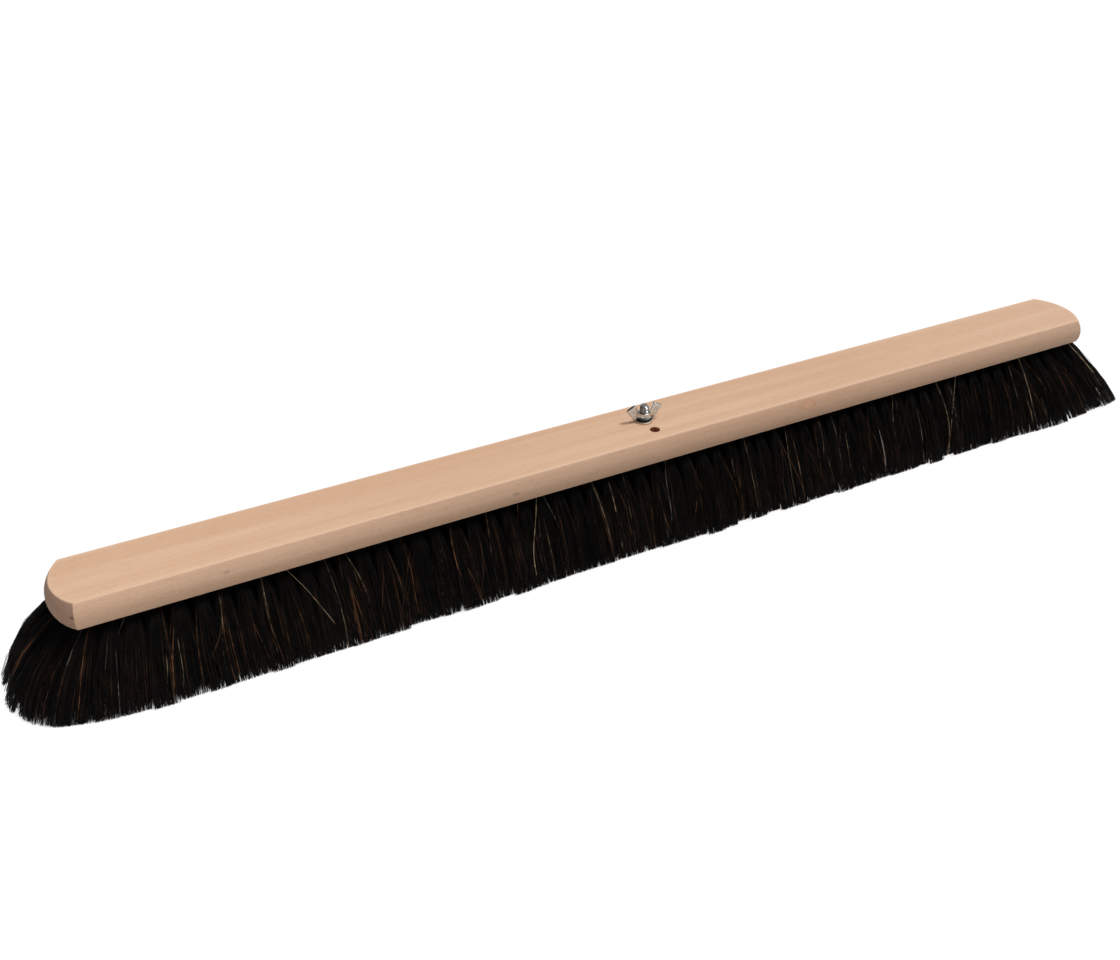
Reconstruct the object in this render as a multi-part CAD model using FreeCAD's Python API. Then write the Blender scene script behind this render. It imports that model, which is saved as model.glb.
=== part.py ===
"""Push broom head: a beech block with six rows of hair tufts and a bolt with a wing nut.

Frame: millimetres, +X along the head, +Y to the back, +Z up.  The origin is on the
floor, under the middle of the head.  The trimmed bristle tips stand on z = 0.
"""
import FreeCAD, Part
import math
import os

from FreeCAD import Placement, Rotation, Vector

UP = Vector(0, 0, 1)

# ---- driving dimensions (mm) -------------------------------------------------------

# Beech block
block_length = 1000.0        # over the widest point of its rounded ends
block_top_width = 59.0       # flat top, crease to crease
block_bottom_width = 63.5    # flat underside
block_thickness = 22.0
side_bulge = 3.3             # how far the convex edge stands out from its own chord
end_radius = 44.0            # plan radius of the top edge at each end
top_edge_round = 0.8         # the crease round the top is sanded soft

# Bristles
bristle_length = 68.0        # from the block's underside down to the trimmed tips
spread_end = 41.0            # tips beyond the ends of the block
spread_side = 25.5           # tips beyond the block's widest line, front and back
row_count = 6
row_margin = 4.75            # wood along each long side, beside the rows
tuft_pitch = 15.6            # along a row; every second row is shifted by half of it
tuft_fill = 0.86             # share of its own cell that a tuft fills at the tips
fan_length = 110.0           # stretch at each end over which the tufts turn outwards
fan_power = 1.5              # how late in that stretch they turn
fan_corner = 0.38            # how much the corner tufts hold back, so the corners round off
bow_height = 0.45            # the height at which a tuft bends, as a share of its length
bow = 0.07                   # and how far it bows out there, as a share of its spread

# Tuft holes and the wire anchors that hold the folded hair in them
tuft_hole_radius = 3.25
tuft_hole_depth = 13.0
tuft_hole_margin = 4.5       # wood between the last hole and the end of the underside
tuft_fold = 1.2              # hair that runs over an anchor
tuft_clearance = 0.14        # between the corners of the hair and its hole
tuft_hole_clearance = 0.3    # above the fold
anchor_height = 1.6
anchor_thickness = 0.5
anchor_end_clearance = 0.15  # between an anchor's ends and its hole
anchor_clearance = 0.05      # between an anchor and the hair round it
slice_thickness = 2.0        # strip of the underside that each row of hair is set in
slice_clearance = 0.1        # all round a strip
slice_margin = 1.5           # wood between a strip's corner and the end of the underside

# Bolt, washer and wing nut (M8)
bolt_x = 0.0
bolt_y = 3.0                 # the bolt stands a little behind the middle of the block
thread_diameter = 8.0
bolt_projection = 15.0       # above the top of the block; 35 under the head
bolt_head_diameter = 20.6
bolt_head_height = 4.9
bolt_neck_length = 4.5
bolt_end_chamfer = 1.0
bolt_clearance = 0.25        # round the shank, in the wood
neck_clearance = 0.1         # round the square neck, in the wood
head_recess_clearance = 0.7  # round the head, in the underside
head_recess_depth = 2.0
hole_wall = 1.0              # least wood between the head's recess and a tuft hole
washer_rim = 0.8             # how far the washer shows round the nut
washer_bore_clearance = 0.2
washer_thickness = 1.6
nut_bore_clearance = 0.1
nut_wall = 1.5               # round the thread, at the top of the hub
nut_flare = 1.7              # how much wider the hub is at its foot
nut_band_height = 2.2
nut_hub_height = 6.8
nut_turned = -8.0            # degrees; how the nut happens to stand
wing_thickness = 2.4
wing_root_inner = 0.9        # distances from the thread, and heights over the nut's seat
wing_root_inner_height = 5.8
wing_root_outer = 5.6
wing_root_outer_height = 0.6
wing_tip_inner = 4.7
wing_tip_inner_height = 15.2
wing_tip_outer = 12.9
wing_tip_outer_height = 10.6
wing_corner_radius = 1.3
dimple_radius = 2.2          # shallow round hollow in each face of a wing
dimple_depth = 0.5

# Blind hole for the locating peg of the handle bracket
locating_hole_spacing = 18.0  # in front of the bolt
locating_hole_diameter = 9.0
locating_hole_floor = 2.0    # wood between it and the tuft holes below

# ---- places worked out from them ---------------------------------------------------

underside_z = bristle_length
top_z = underside_z + block_thickness
bottom_flare = (block_bottom_width - block_top_width) / 2
row_pitch = (block_bottom_width - 2 * row_margin) / row_count
tuft_side = math.sqrt(2) * (tuft_hole_radius - tuft_clearance)
bow_reach = bow_height + 4 * bow * bow_height * (1 - bow_height)
thread_radius = thread_diameter / 2
bolt_seat_z = underside_z + head_recess_depth
head_recess_radius = bolt_head_diameter / 2 + head_recess_clearance
nut_top_radius = thread_radius + nut_wall
nut_base_radius = nut_top_radius + nut_flare


def chord_arc(start, end, sagitta):
    """Arc in the XZ plane that stands out from its chord by sagitta, outwards on a way down."""
    chord = end - start
    outward = chord.cross(Vector(0, 1, 0)).normalize()
    return Part.Arc(start, (start + end) / 2 + outward * sagitta, end)


def edge_profile(reach_top):
    """The block's convex edge as an arc from the top crease down to the underside."""
    top = Vector(reach_top, 0, top_z)
    bottom = Vector(reach_top + bottom_flare, 0, underside_z)
    return chord_arc(top, bottom, side_bulge)


def widest(reach_top):
    """How far the convex edge reaches at its widest."""
    return edge_profile(reach_top).toShape().BoundBox.XMax


side_reach = widest(block_top_width / 2)
end_centre = block_length / 2 - widest(end_radius)


def half_section(reach_top):
    """Face under the edge profile, from the centre line out to it, in the XZ plane."""
    arc = edge_profile(reach_top)
    top, bottom = arc.value(arc.FirstParameter), arc.value(arc.LastParameter)
    axis_top, axis_bottom = Vector(0, 0, top_z), Vector(0, 0, underside_z)
    straight = Part.makePolygon([bottom, axis_bottom, axis_top, top])
    return Part.Face(Part.Wire([arc.toShape()] + straight.Edges))


def block_blank():
    """The block before drilling: a bar with convex sides, cut to convex rounded ends."""
    half = half_section(block_top_width / 2)
    half.rotate(Vector(), UP, 90)
    half.translate(Vector(-block_length / 2, 0, 0))
    back = half.extrude(Vector(block_length, 0, 0))
    bar = back.fuse(back.mirror(Vector(), Vector(0, 1, 0))).removeSplitter()

    end_disc = half_section(end_radius).revolve(Vector(), UP, 360)
    ends = [end_disc.translated(Vector(side * end_centre, 0, 0)) for side in (-1, 1)]
    middle = Part.makeBox(2 * end_centre, block_length, block_thickness,
                          Vector(-end_centre, -block_length / 2, underside_z))
    blank = bar.common(ends[0].fuse([ends[1], middle])).removeSplitter()
    on_top = [e for e in blank.Edges if e.BoundBox.ZMin > top_z - 0.01]
    return blank.makeFillet(top_edge_round, on_top)


# ---- where the tufts stand and how they spread -------------------------------------


def underside_reach(y):
    """How far the underside's rounded end reaches along X, at a distance y from the middle."""
    return end_centre + math.sqrt((end_radius + bottom_flare) ** 2 - y * y)


def row_y(row):
    return (row - (row_count - 1) / 2) * row_pitch


def row_places(row):
    """X of each tuft in a row; none stands where the bolt's head is let in."""
    y = row_y(row)
    shift = tuft_pitch / 2 if row % 2 == 0 else 0.0
    limit = min(underside_reach(abs(y)) - tuft_hole_margin,
                underside_reach(abs(y) + row_pitch / 2) - slice_margin) - tuft_hole_radius
    count = int((limit + tuft_pitch) / tuft_pitch)
    places = [shift + i * tuft_pitch for i in range(-count - 1, count + 1)]
    keep_off = head_recess_radius + tuft_hole_radius + hole_wall
    return [x for x in places if abs(x) <= limit and math.hypot(x - bolt_x, y - bolt_y) >= keep_off]


rows = [row_places(row) for row in range(row_count)]
cell_length = tuft_pitch * tuft_fill
cell_width = row_pitch * tuft_fill
field_side = row_y(row_count - 1) + cell_width / 2
side_push = side_reach + spread_side - field_side


def fanned(row, x, y):
    """Where a point of a row's tuft field ends up on the floor once the hair has spread."""
    row_end = max(rows[row]) + cell_length / 2
    end_push = block_length / 2 + spread_end - row_end
    along = max(0.0, (abs(x) - (row_end - fan_length)) / fan_length)
    across = y / field_side
    push_x = end_push * along ** fan_power * math.sqrt(1 - fan_corner * across ** 4)
    push_y = side_push * across * math.sqrt(1 - fan_corner * along ** 4)
    return x + math.copysign(push_x, x), y + push_y


def lean(row, x):
    """Sideways run of a tuft for each millimetre that it drops, where it leaves the wood."""
    tip_x, tip_y = fanned(row, x, row_y(row))
    drop = bow_height * bristle_length / bow_reach
    return (tip_x - x) / drop, (tip_y - row_y(row)) / drop


def tuft_hole_floor(row, x):
    """Height of the middle of the tuft hole's floor, and how much its low side drops below."""
    run = math.hypot(*lean(row, x))
    tilt = tuft_hole_radius * run / math.hypot(1, run)
    return underside_z + tuft_hole_depth - tilt, tilt


def peg_top(row, x):
    floor, tilt = tuft_hole_floor(row, x)
    return floor - tilt - tuft_hole_clearance


def on_axis(row, x, z):
    """Point of a tuft's axis at height z, inside the wood."""
    lean_x, lean_y = lean(row, x)
    rise = z - underside_z
    return Vector(x - lean_x * rise, row_y(row) - lean_y * rise, z)


def rectangle(centre, length, width):
    steps = ((-1, -1), (1, -1), (1, 1), (-1, 1))
    return [centre + Vector(sx * length / 2, sy * width / 2, 0) for sx, sy in steps]


def closed(points):
    return Part.makePolygon(points + points[:1])


def tuft(row, x):
    """One tuft: a peg in its hole, then a bundle that spreads and bows down to the floor."""
    mouth = Vector(x, row_y(row), underside_z)
    peg = rectangle(on_axis(row, x, peg_top(row, x)), tuft_side, tuft_side)
    root = rectangle(mouth, tuft_side, tuft_side)
    cell = rectangle(mouth, cell_length, cell_width)
    tips = [Vector(*fanned(row, corner.x, corner.y), 0) for corner in cell]
    bend_z = underside_z * (1 - bow_height)
    bend = [Vector(a.x + (b.x - a.x) * bow_reach, a.y + (b.y - a.y) * bow_reach, bend_z)
            for a, b in zip(root, tips)]
    return Part.makeLoft([closed(peg), closed(root), closed(bend), closed(tips)], True, True)


def anchor_box(row, x, length, grow):
    """Upright strip across a tuft hole, just under the hair's fold."""
    middle = on_axis(row, x, peg_top(row, x) - tuft_fold - anchor_height / 2)
    size = Vector(length, anchor_thickness + 2 * grow, anchor_height + 2 * grow)
    return Part.makeBox(size.x, size.y, size.z, middle - size / 2)


def slice_box(row, grow, height):
    """Strip of the underside that a row of tufts is set in."""
    reach = max(rows[row]) + tuft_hole_radius + slice_clearance + grow
    half = row_pitch / 2 - slice_clearance + grow
    corner = Vector(-reach, row_y(row) - half, underside_z)
    return Part.makeBox(2 * reach, 2 * half, height, corner)


def bolt_cylinder(radius, z, height):
    return Part.makeCylinder(radius, height, Vector(bolt_x, bolt_y, z))


def tuft_row(row):
    """All the tufts of a row, set in their strip, with a slot round each anchor."""
    strip = slice_box(row, 0, slice_thickness)
    strip = strip.cut(bolt_cylinder(head_recess_radius, underside_z, slice_thickness))
    hair = strip.fuse([tuft(row, x) for x in rows[row]])
    return hair.cut([anchor_box(row, x, 2 * tuft_side, anchor_clearance) for x in rows[row]])


def anchor_row(row):
    length = 2 * (tuft_hole_radius - anchor_end_clearance)
    return Part.makeCompound([anchor_box(row, x, length, 0) for x in rows[row]])


# ---- block with its holes ----------------------------------------------------------


def tuft_hole(row, x):
    """Flat-bottomed hole drilled from below along the tuft's own lean."""
    floor, _ = tuft_hole_floor(row, x)
    top = on_axis(row, x, floor)
    mouth = on_axis(row, x, underside_z - tuft_hole_radius)
    return Part.makeCylinder(tuft_hole_radius, (top - mouth).Length, mouth, top - mouth)


def broom_block():
    """The drilled block: tuft holes, seat for the strips, bolt hole and locating hole."""
    seats = [slice_box(row, slice_clearance, slice_thickness) for row in range(row_count)]
    holes = [tuft_hole(row, x) for row in range(row_count) for x in rows[row]]
    neck = thread_diameter + 2 * neck_clearance
    bolt_cuts = [
        bolt_cylinder(thread_radius + bolt_clearance, underside_z, block_thickness),
        bolt_cylinder(head_recess_radius, underside_z, head_recess_depth),
        Part.makeBox(neck, neck, bolt_neck_length + neck_clearance,
                     Vector(bolt_x - neck / 2, bolt_y - neck / 2, bolt_seat_z)),
    ]
    locating_z = underside_z + tuft_hole_depth + locating_hole_floor
    locating = Part.makeCylinder(
        locating_hole_diameter / 2, top_z - locating_z,
        Vector(bolt_x, bolt_y - locating_hole_spacing, locating_z))
    return block_blank().cut(seats + holes + bolt_cuts + [locating])


# ---- bolt, washer and wing nut -----------------------------------------------------


def carriage_bolt():
    """Domed head under the block, square neck in the wood, shank up through it."""
    head_radius = bolt_head_diameter / 2
    crown = Vector(0, 0, bolt_seat_z - bolt_head_height)
    rim = Vector(head_radius, 0, bolt_seat_z)
    dome_radius = (head_radius ** 2 + bolt_head_height ** 2) / (2 * bolt_head_height)
    half_angle = math.asin(head_radius / dome_radius) / 2
    on_dome = crown + Vector(dome_radius * math.sin(half_angle), 0,
                             dome_radius * (1 - math.cos(half_angle)))
    flat = Part.makePolygon([rim, Vector(0, 0, bolt_seat_z), crown])
    profile = Part.Face(Part.Wire([Part.Arc(crown, on_dome, rim).toShape()] + flat.Edges))
    head = profile.revolve(Vector(), UP, 360).translated(Vector(bolt_x, bolt_y, 0))
    neck = Part.makeBox(thread_diameter, thread_diameter, bolt_neck_length,
                        Vector(bolt_x - thread_radius, bolt_y - thread_radius, bolt_seat_z))
    chamfer_z = top_z + bolt_projection - bolt_end_chamfer
    shank = bolt_cylinder(thread_radius, bolt_seat_z, chamfer_z - bolt_seat_z)
    end = Part.makeCone(thread_radius, thread_radius - bolt_end_chamfer, bolt_end_chamfer,
                        Vector(bolt_x, bolt_y, chamfer_z))
    return head.fuse([neck, shank, end])


def flat_washer():
    disc = bolt_cylinder(nut_base_radius + washer_rim, top_z, washer_thickness)
    bore = bolt_cylinder(thread_radius + washer_bore_clearance, top_z, washer_thickness)
    return disc.cut(bore)


def wing():
    """One wing as a flat plate that leans out from the hub to a straight-cut tip."""
    outline = [
        Vector(0, 0, wing_root_outer_height),
        Vector(thread_radius + wing_root_outer, 0, wing_root_outer_height),
        Vector(thread_radius + wing_tip_outer, 0, wing_tip_outer_height),
        Vector(thread_radius + wing_tip_inner, 0, wing_tip_inner_height),
        Vector(thread_radius + wing_root_inner, 0, wing_root_inner_height),
        Vector(0, 0, wing_root_inner_height),
    ]
    plate = Part.Face(closed(outline)).extrude(Vector(0, wing_thickness, 0))
    plate.translate(Vector(0, -wing_thickness / 2, 0))
    outer = outline[1:4]
    corners = [e for e in plate.Edges
               if any(e.CenterOfMass.sub(at).Length < wing_corner_radius / 10 for at in outer)]
    plate = plate.makeFillet(wing_corner_radius, corners)
    middle = (outline[1] + outline[2] + outline[3] + outline[4]) / 4
    ball_radius = (dimple_radius ** 2 + dimple_depth ** 2) / (2 * dimple_depth)
    off = wing_thickness / 2 + ball_radius - dimple_depth
    balls = [Part.makeSphere(ball_radius, middle + Vector(0, side * off, 0)) for side in (-1, 1)]
    return plate.cut(balls)


def wing_nut():
    """Hub with a plain band and a short cone, two wings, and a bore for the bolt."""
    band = Part.makeCylinder(nut_base_radius, nut_band_height)
    cone = Part.makeCone(nut_base_radius, nut_top_radius, nut_hub_height - nut_band_height,
                         Vector(0, 0, nut_band_height))
    right = wing()
    left = right.mirror(Vector(), Vector(1, 0, 0))
    nut = band.fuse([cone, right, left])
    nut = nut.cut(Part.makeCylinder(thread_radius + nut_bore_clearance, wing_tip_inner_height))
    seat = Vector(bolt_x, bolt_y, top_z + washer_thickness)
    nut.Placement = Placement(seat, Rotation(UP, nut_turned))
    return nut


# ---- write every node --------------------------------------------------------------


def main():
    nodes = {
        "broom_block": broom_block(),
        "carriage_bolt": carriage_bolt(),
        "flat_washer": flat_washer(),
        "wing_nut": wing_nut(),
    }
    for row in range(row_count):
        nodes[f"tuft_row_{row + 1}"] = tuft_row(row)
        nodes[f"anchor_row_{row + 1}"] = anchor_row(row)
    os.makedirs("parts", exist_ok=True)
    for name, shape in nodes.items():
        shape.exportStep(f"parts/{name}.step")
        box = shape.BoundBox
        print(f"{name:14s} solids {len(shape.Solids):3d}  valid {shape.isValid()}  "
              f"volume {shape.Volume:12.1f}  x {box.XMin:7.1f} {box.XMax:7.1f}  "
              f"y {box.YMin:6.1f} {box.YMax:6.1f}  z {box.ZMin:6.1f} {box.ZMax:6.1f}")
    print("tufts:", sum(len(places) for places in rows))


main()
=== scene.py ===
"""Looks of a push broom head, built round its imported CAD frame.

The frame gives the drilled beech block, the bolt, washer and wing nut, and plain solids
for the hair.  This script dresses the block in beech, replaces the rows of plain tufts
with loose fibres and the wood they are set in, and gives the bolt its thread, the nut
its cast form and the metal its zinc.  Lengths are metres, in the frame's own axes: +X
along the head, +Y to the back, +Z up, with the trimmed hair standing on z = 0.
"""

import logging
import math
from dataclasses import dataclass, field
from enum import Enum
from typing import Any, Callable

import bpy
import numpy as np
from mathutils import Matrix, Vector


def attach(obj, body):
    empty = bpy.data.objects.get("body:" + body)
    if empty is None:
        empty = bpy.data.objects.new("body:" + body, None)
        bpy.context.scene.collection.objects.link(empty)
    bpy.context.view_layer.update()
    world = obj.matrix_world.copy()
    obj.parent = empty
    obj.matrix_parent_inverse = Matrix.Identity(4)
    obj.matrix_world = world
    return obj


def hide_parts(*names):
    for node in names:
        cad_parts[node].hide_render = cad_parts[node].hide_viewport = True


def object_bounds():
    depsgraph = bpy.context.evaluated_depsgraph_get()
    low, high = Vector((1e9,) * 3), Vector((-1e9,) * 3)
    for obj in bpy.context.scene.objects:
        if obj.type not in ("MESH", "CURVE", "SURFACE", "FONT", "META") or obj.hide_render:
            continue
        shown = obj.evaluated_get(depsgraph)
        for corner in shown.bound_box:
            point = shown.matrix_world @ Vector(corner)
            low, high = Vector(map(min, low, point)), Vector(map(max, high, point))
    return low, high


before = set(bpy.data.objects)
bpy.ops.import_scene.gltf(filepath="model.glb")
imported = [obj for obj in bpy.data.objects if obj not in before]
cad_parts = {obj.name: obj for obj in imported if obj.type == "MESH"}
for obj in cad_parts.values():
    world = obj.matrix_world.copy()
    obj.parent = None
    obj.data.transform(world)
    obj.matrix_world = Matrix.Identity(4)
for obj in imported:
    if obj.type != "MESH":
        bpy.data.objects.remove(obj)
cad_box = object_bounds()

log = logging.getLogger("push_broom")

Array = np.ndarray
Pair = tuple[float, float]
Point = tuple[float, float, float]
Colour = tuple[float, float, float]

WHITE: Colour = (1.0, 1.0, 1.0)
FULL_TURN = 2 * math.pi


class Body(Enum):
    """Bodies of the frame that a piece can ride on."""

    HEAD = "head"
    WASHER = "washer"
    NUT = "nut"


class Slot(Enum):
    """Material slots of the record that a piece takes its finish from."""

    BEECH = "beech"
    HAIR = "hair"
    ZINC = "zinc_steel"
    WIRE = "anchor_wire"


@dataclass(frozen=True)
class Board:
    """Sizes of the block that its wood, its hair and its hardware share.

    Attributes:
        half_length: Half its length.
        half_width: Half its width at the widest.
        top_half_width: Half the width of its flat top.
        end_radius: Plan radius of the top edge at the ends.
        top: Height of the flat top.
        underside: Height of the underside.
        underside_flare: How much further the underside reaches than the top.
        bolt: X and Y of the bolt.
        hole: X and Y of the locating hole.
        hole_radius: Its radius.
        hole_depth: Its depth.
    """

    half_length: float = 0.500
    half_width: float = 0.03401
    top_half_width: float = 0.0295
    end_radius: float = 0.044
    top: float = 0.090
    underside: float = 0.068
    underside_flare: float = 0.00225
    bolt: Pair = (0.0, 0.003)
    hole: Pair = (0.0, -0.015)
    hole_radius: float = 0.0045
    hole_depth: float = 0.007

    @property
    def end_centre(self) -> float:
        """How far from the middle the ends' arcs are centred."""
        return self.half_length - self.end_radius - (self.half_width - self.top_half_width)

    def underside_reach(self, y: float) -> float:
        """How far the underside reaches along X at a distance y from the middle."""
        radius = self.end_radius + self.underside_flare
        return self.end_centre + math.sqrt(radius ** 2 - y * y)


# ---- meshes from arrays ------------------------------------------------------------


def tube_quads(rings: int, around: int) -> Array:
    """Quads between closed rings of points, numbered ring by ring.

    The quad of ring i and column j joins (i, j), (i, j + 1), (i + 1, j + 1) and
    (i + 1, j), so it faces the side from which the columns run anticlockwise as the
    rings go up.

    Args:
        rings: Number of rings.
        around: Number of points in each ring.

    Returns:
        Vertex numbers, one row of four for each quad.
    """
    ring, column = np.meshgrid(np.arange(rings - 1), np.arange(around), indexing="ij")
    beside = (column + 1) % around
    here, above = ring * around, (ring + 1) * around
    corners = [here + column, here + beside, above + beside, above + column]
    return np.stack(corners, axis=-1).reshape(-1, 4)


@dataclass
class Surface:
    """Points and faces of one piece before it becomes a mesh.

    Attributes:
        points: One row of three for each point.
        faces: Arrays of vertex numbers, each with its own number of corners per face.
    """

    points: Array
    faces: list[Array]

    def joined(self, other: "Surface") -> "Surface":
        """Both surfaces in one, unconnected."""
        shift = len(self.points)
        return Surface(np.concatenate([self.points, other.points]),
                       self.faces + [part + shift for part in other.faces])

    def moved(self, offset: Point) -> "Surface":
        """The same surface, shifted."""
        return Surface(self.points + np.array(offset), self.faces)

    def turned(self, angle: float) -> "Surface":
        """The same surface, turned about Z by radians, anticlockwise from above."""
        c, s = math.cos(angle), math.sin(angle)
        return Surface(self.points @ np.array([[c, s, 0], [-s, c, 0], [0, 0, 1]]), self.faces)

    def mesh(self, name: str, smooth: bool = True) -> bpy.types.Mesh:
        """Writes the arrays into a new mesh.

        Args:
            name: Name of the mesh.
            smooth: True to shade across the faces' edges.

        Returns:
            The new mesh.
        """
        mesh = bpy.data.meshes.new(name)
        corners = np.concatenate([part.ravel() for part in self.faces])
        counts = np.concatenate([np.full(len(part), part.shape[1]) for part in self.faces])
        mesh.vertices.add(len(self.points))
        mesh.vertices.foreach_set("co", self.points.astype(np.float32).ravel())
        mesh.loops.add(len(corners))
        mesh.loops.foreach_set("vertex_index", corners.astype(np.int32))
        mesh.polygons.add(len(counts))
        starts = np.concatenate([[0], np.cumsum(counts)[:-1]])
        mesh.polygons.foreach_set("loop_start", starts.astype(np.int32))
        mesh.polygons.foreach_set("use_smooth", np.full(len(counts), smooth))
        mesh.update(calc_edges=True)
        return mesh


def closed_rings(rings: Array, poles: bool) -> Surface:
    """A surface through closed rings of points, such as a turned part.

    Args:
        rings: Points as (ring, point round the ring, xyz).
        poles: True to close the first and last ring with a fan to its middle, False to
            join the last ring to the first, as on a ring-shaped part.

    Returns:
        The closed surface.
    """
    count, around = rings.shape[:2]
    points = rings.reshape(-1, 3)
    if not poles:
        return Surface(points, [tube_quads(count + 1, around) % (count * around)])
    middles = np.stack([rings[0].mean(axis=0), rings[-1].mean(axis=0)])
    here = np.arange(around)
    beside = (here + 1) % around
    last = (count - 1) * around
    bottom = np.stack([beside, here, np.full(around, len(points))], axis=1)
    top = np.stack([last + here, last + beside, np.full(around, len(points) + 1)], axis=1)
    return Surface(np.concatenate([points, middles]),
                   [tube_quads(count, around), np.concatenate([bottom, top])])


def lathe(profile: Array, steps: int, axis: Pair = (0.0, 0.0),
          radius: Callable[[Array, Array, Array], Array] | None = None,
          poles: bool = True) -> Surface:
    """A profile carried round an upright axis.

    Each point of the profile, at distance r and height z, becomes a ring of points
    (x + r cos a, y + r sin a, z), with the angle a in even steps from 0 to a full turn.

    Args:
        profile: Rows of (r, z), upwards on the outside of the part.
        steps: Points in each ring.
        axis: X and Y of the axis.
        radius: Gives the distances in place of r, from the angles, r and z.
        poles: True if the ends lie on the axis, False if the profile is a closed loop.

    Returns:
        The turned surface.
    """
    angle = np.linspace(0, FULL_TURN, steps, endpoint=False)[None, :]
    r, z = profile[:, :1], profile[:, 1:]
    distance = r * np.ones_like(angle) if radius is None else radius(angle, r, z)
    rings = np.stack([axis[0] + distance * np.cos(angle), axis[1] + distance * np.sin(angle),
                      z * np.ones_like(angle)], axis=-1)
    return closed_rings(rings, poles)


def arc_points(centre: Pair, radius: float, start: float, end: float, steps: int) -> Array:
    """Points of an arc in the profile plane, as rows of (r, z).

    Args:
        centre: Its centre as (r, z).
        radius: Its radius.
        start: Angle of its first point in degrees, 0 along r and 90 along z.
        end: Angle of its last point in degrees.
        steps: Number of points.

    Returns:
        The points.
    """
    angle = np.radians(np.linspace(start, end, steps))
    return np.stack([centre[0] + radius * np.cos(angle), centre[1] + radius * np.sin(angle)],
                    axis=1)


def rounded_outline(corners: Array, radius: float, steps: int) -> Array:
    """A convex polygon whose corners are arcs.

    Each arc's centre lies on the line that halves its corner's angle, where the radius
    just reaches both sides, and the arc sweeps from one of those points to the other.

    Args:
        corners: Rows of (x, y), in order round the polygon.
        radius: Radius of the arcs.
        steps: Points in each arc.

    Returns:
        The points of the outline.
    """
    before = np.roll(corners, 1, axis=0) - corners
    after = np.roll(corners, -1, axis=0) - corners
    before /= np.linalg.norm(before, axis=1, keepdims=True)
    after /= np.linalg.norm(after, axis=1, keepdims=True)
    half = np.arccos(np.clip((before * after).sum(axis=1), -1, 1)) / 2
    inwards = before + after
    inwards /= np.linalg.norm(inwards, axis=1, keepdims=True)
    centre = corners + inwards * (radius / np.sin(half))[:, None]
    start = corners + before * (radius / np.tan(half))[:, None] - centre
    end = corners + after * (radius / np.tan(half))[:, None] - centre
    first = np.arctan2(start[:, 1], start[:, 0])
    sweep = (np.arctan2(end[:, 1], end[:, 0]) - first + math.pi) % FULL_TURN - math.pi
    angle = first[:, None] + sweep[:, None] * np.linspace(0, 1, steps)
    arcs = centre[:, None] + radius * np.stack([np.cos(angle), np.sin(angle)], axis=-1)
    return arcs.reshape(-1, 2)


def evenly_spaced(outline: Array, count: int) -> Array:
    """The same closed outline through evenly spaced points.

    Args:
        outline: Rows of (x, y), in order round the outline.
        count: Number of points.

    Returns:
        The points.
    """
    closed = np.concatenate([outline, outline[:1]])
    run = np.concatenate([[0], np.linalg.norm(np.diff(closed, axis=0), axis=1).cumsum()])
    even = np.linspace(0, run[-1], count, endpoint=False)
    return np.stack([np.interp(even, run, closed[:, axis]) for axis in (0, 1)], axis=1)


def ramp(value: Array, start: float, length: float) -> Array:
    """0 up to the start, then rising evenly to 1 over the length."""
    return np.clip((value - start) / length, 0, 1)


# ---- pieces in the scene -----------------------------------------------------------


def into_scene(name: str, data: bpy.types.ID) -> bpy.types.Object:
    """Links a new object for a mesh, a lamp or a camera into the scene.

    Args:
        name: Its name.
        data: The mesh, lamp or camera.

    Returns:
        The new object, at the origin.
    """
    thing = bpy.data.objects.new(name, data)
    bpy.context.scene.collection.objects.link(thing)
    return thing


def add_piece(mesh: bpy.types.Mesh, material: bpy.types.Material, body: Body,
              nodes: list[str]) -> None:
    """Puts a finished mesh into the scene as a piece of the broom.

    Args:
        mesh: The mesh, whose name the piece takes.
        material: Its material.
        body: The body it rides on.
        nodes: CAD nodes that it stands for.
    """
    piece = into_scene(mesh.name, mesh)
    mesh.materials.append(material)
    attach(piece, body.value)
    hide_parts(*nodes)
    log.info("%s: %d faces on %s", mesh.name, len(mesh.polygons), body.value)


def dress(node: str, material: bpy.types.Material) -> None:
    """Gives a CAD node that stays its material.

    Args:
        node: Name of the node.
        material: The material for its object's slots.
    """
    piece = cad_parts[node]
    if not piece.material_slots:
        piece.data.materials.append(None)
    for held in piece.material_slots:
        held.link = "OBJECT"
        held.material = material
    log.info("%s: dressed as it is", node)


# ---- shader arithmetic -------------------------------------------------------------


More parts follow.
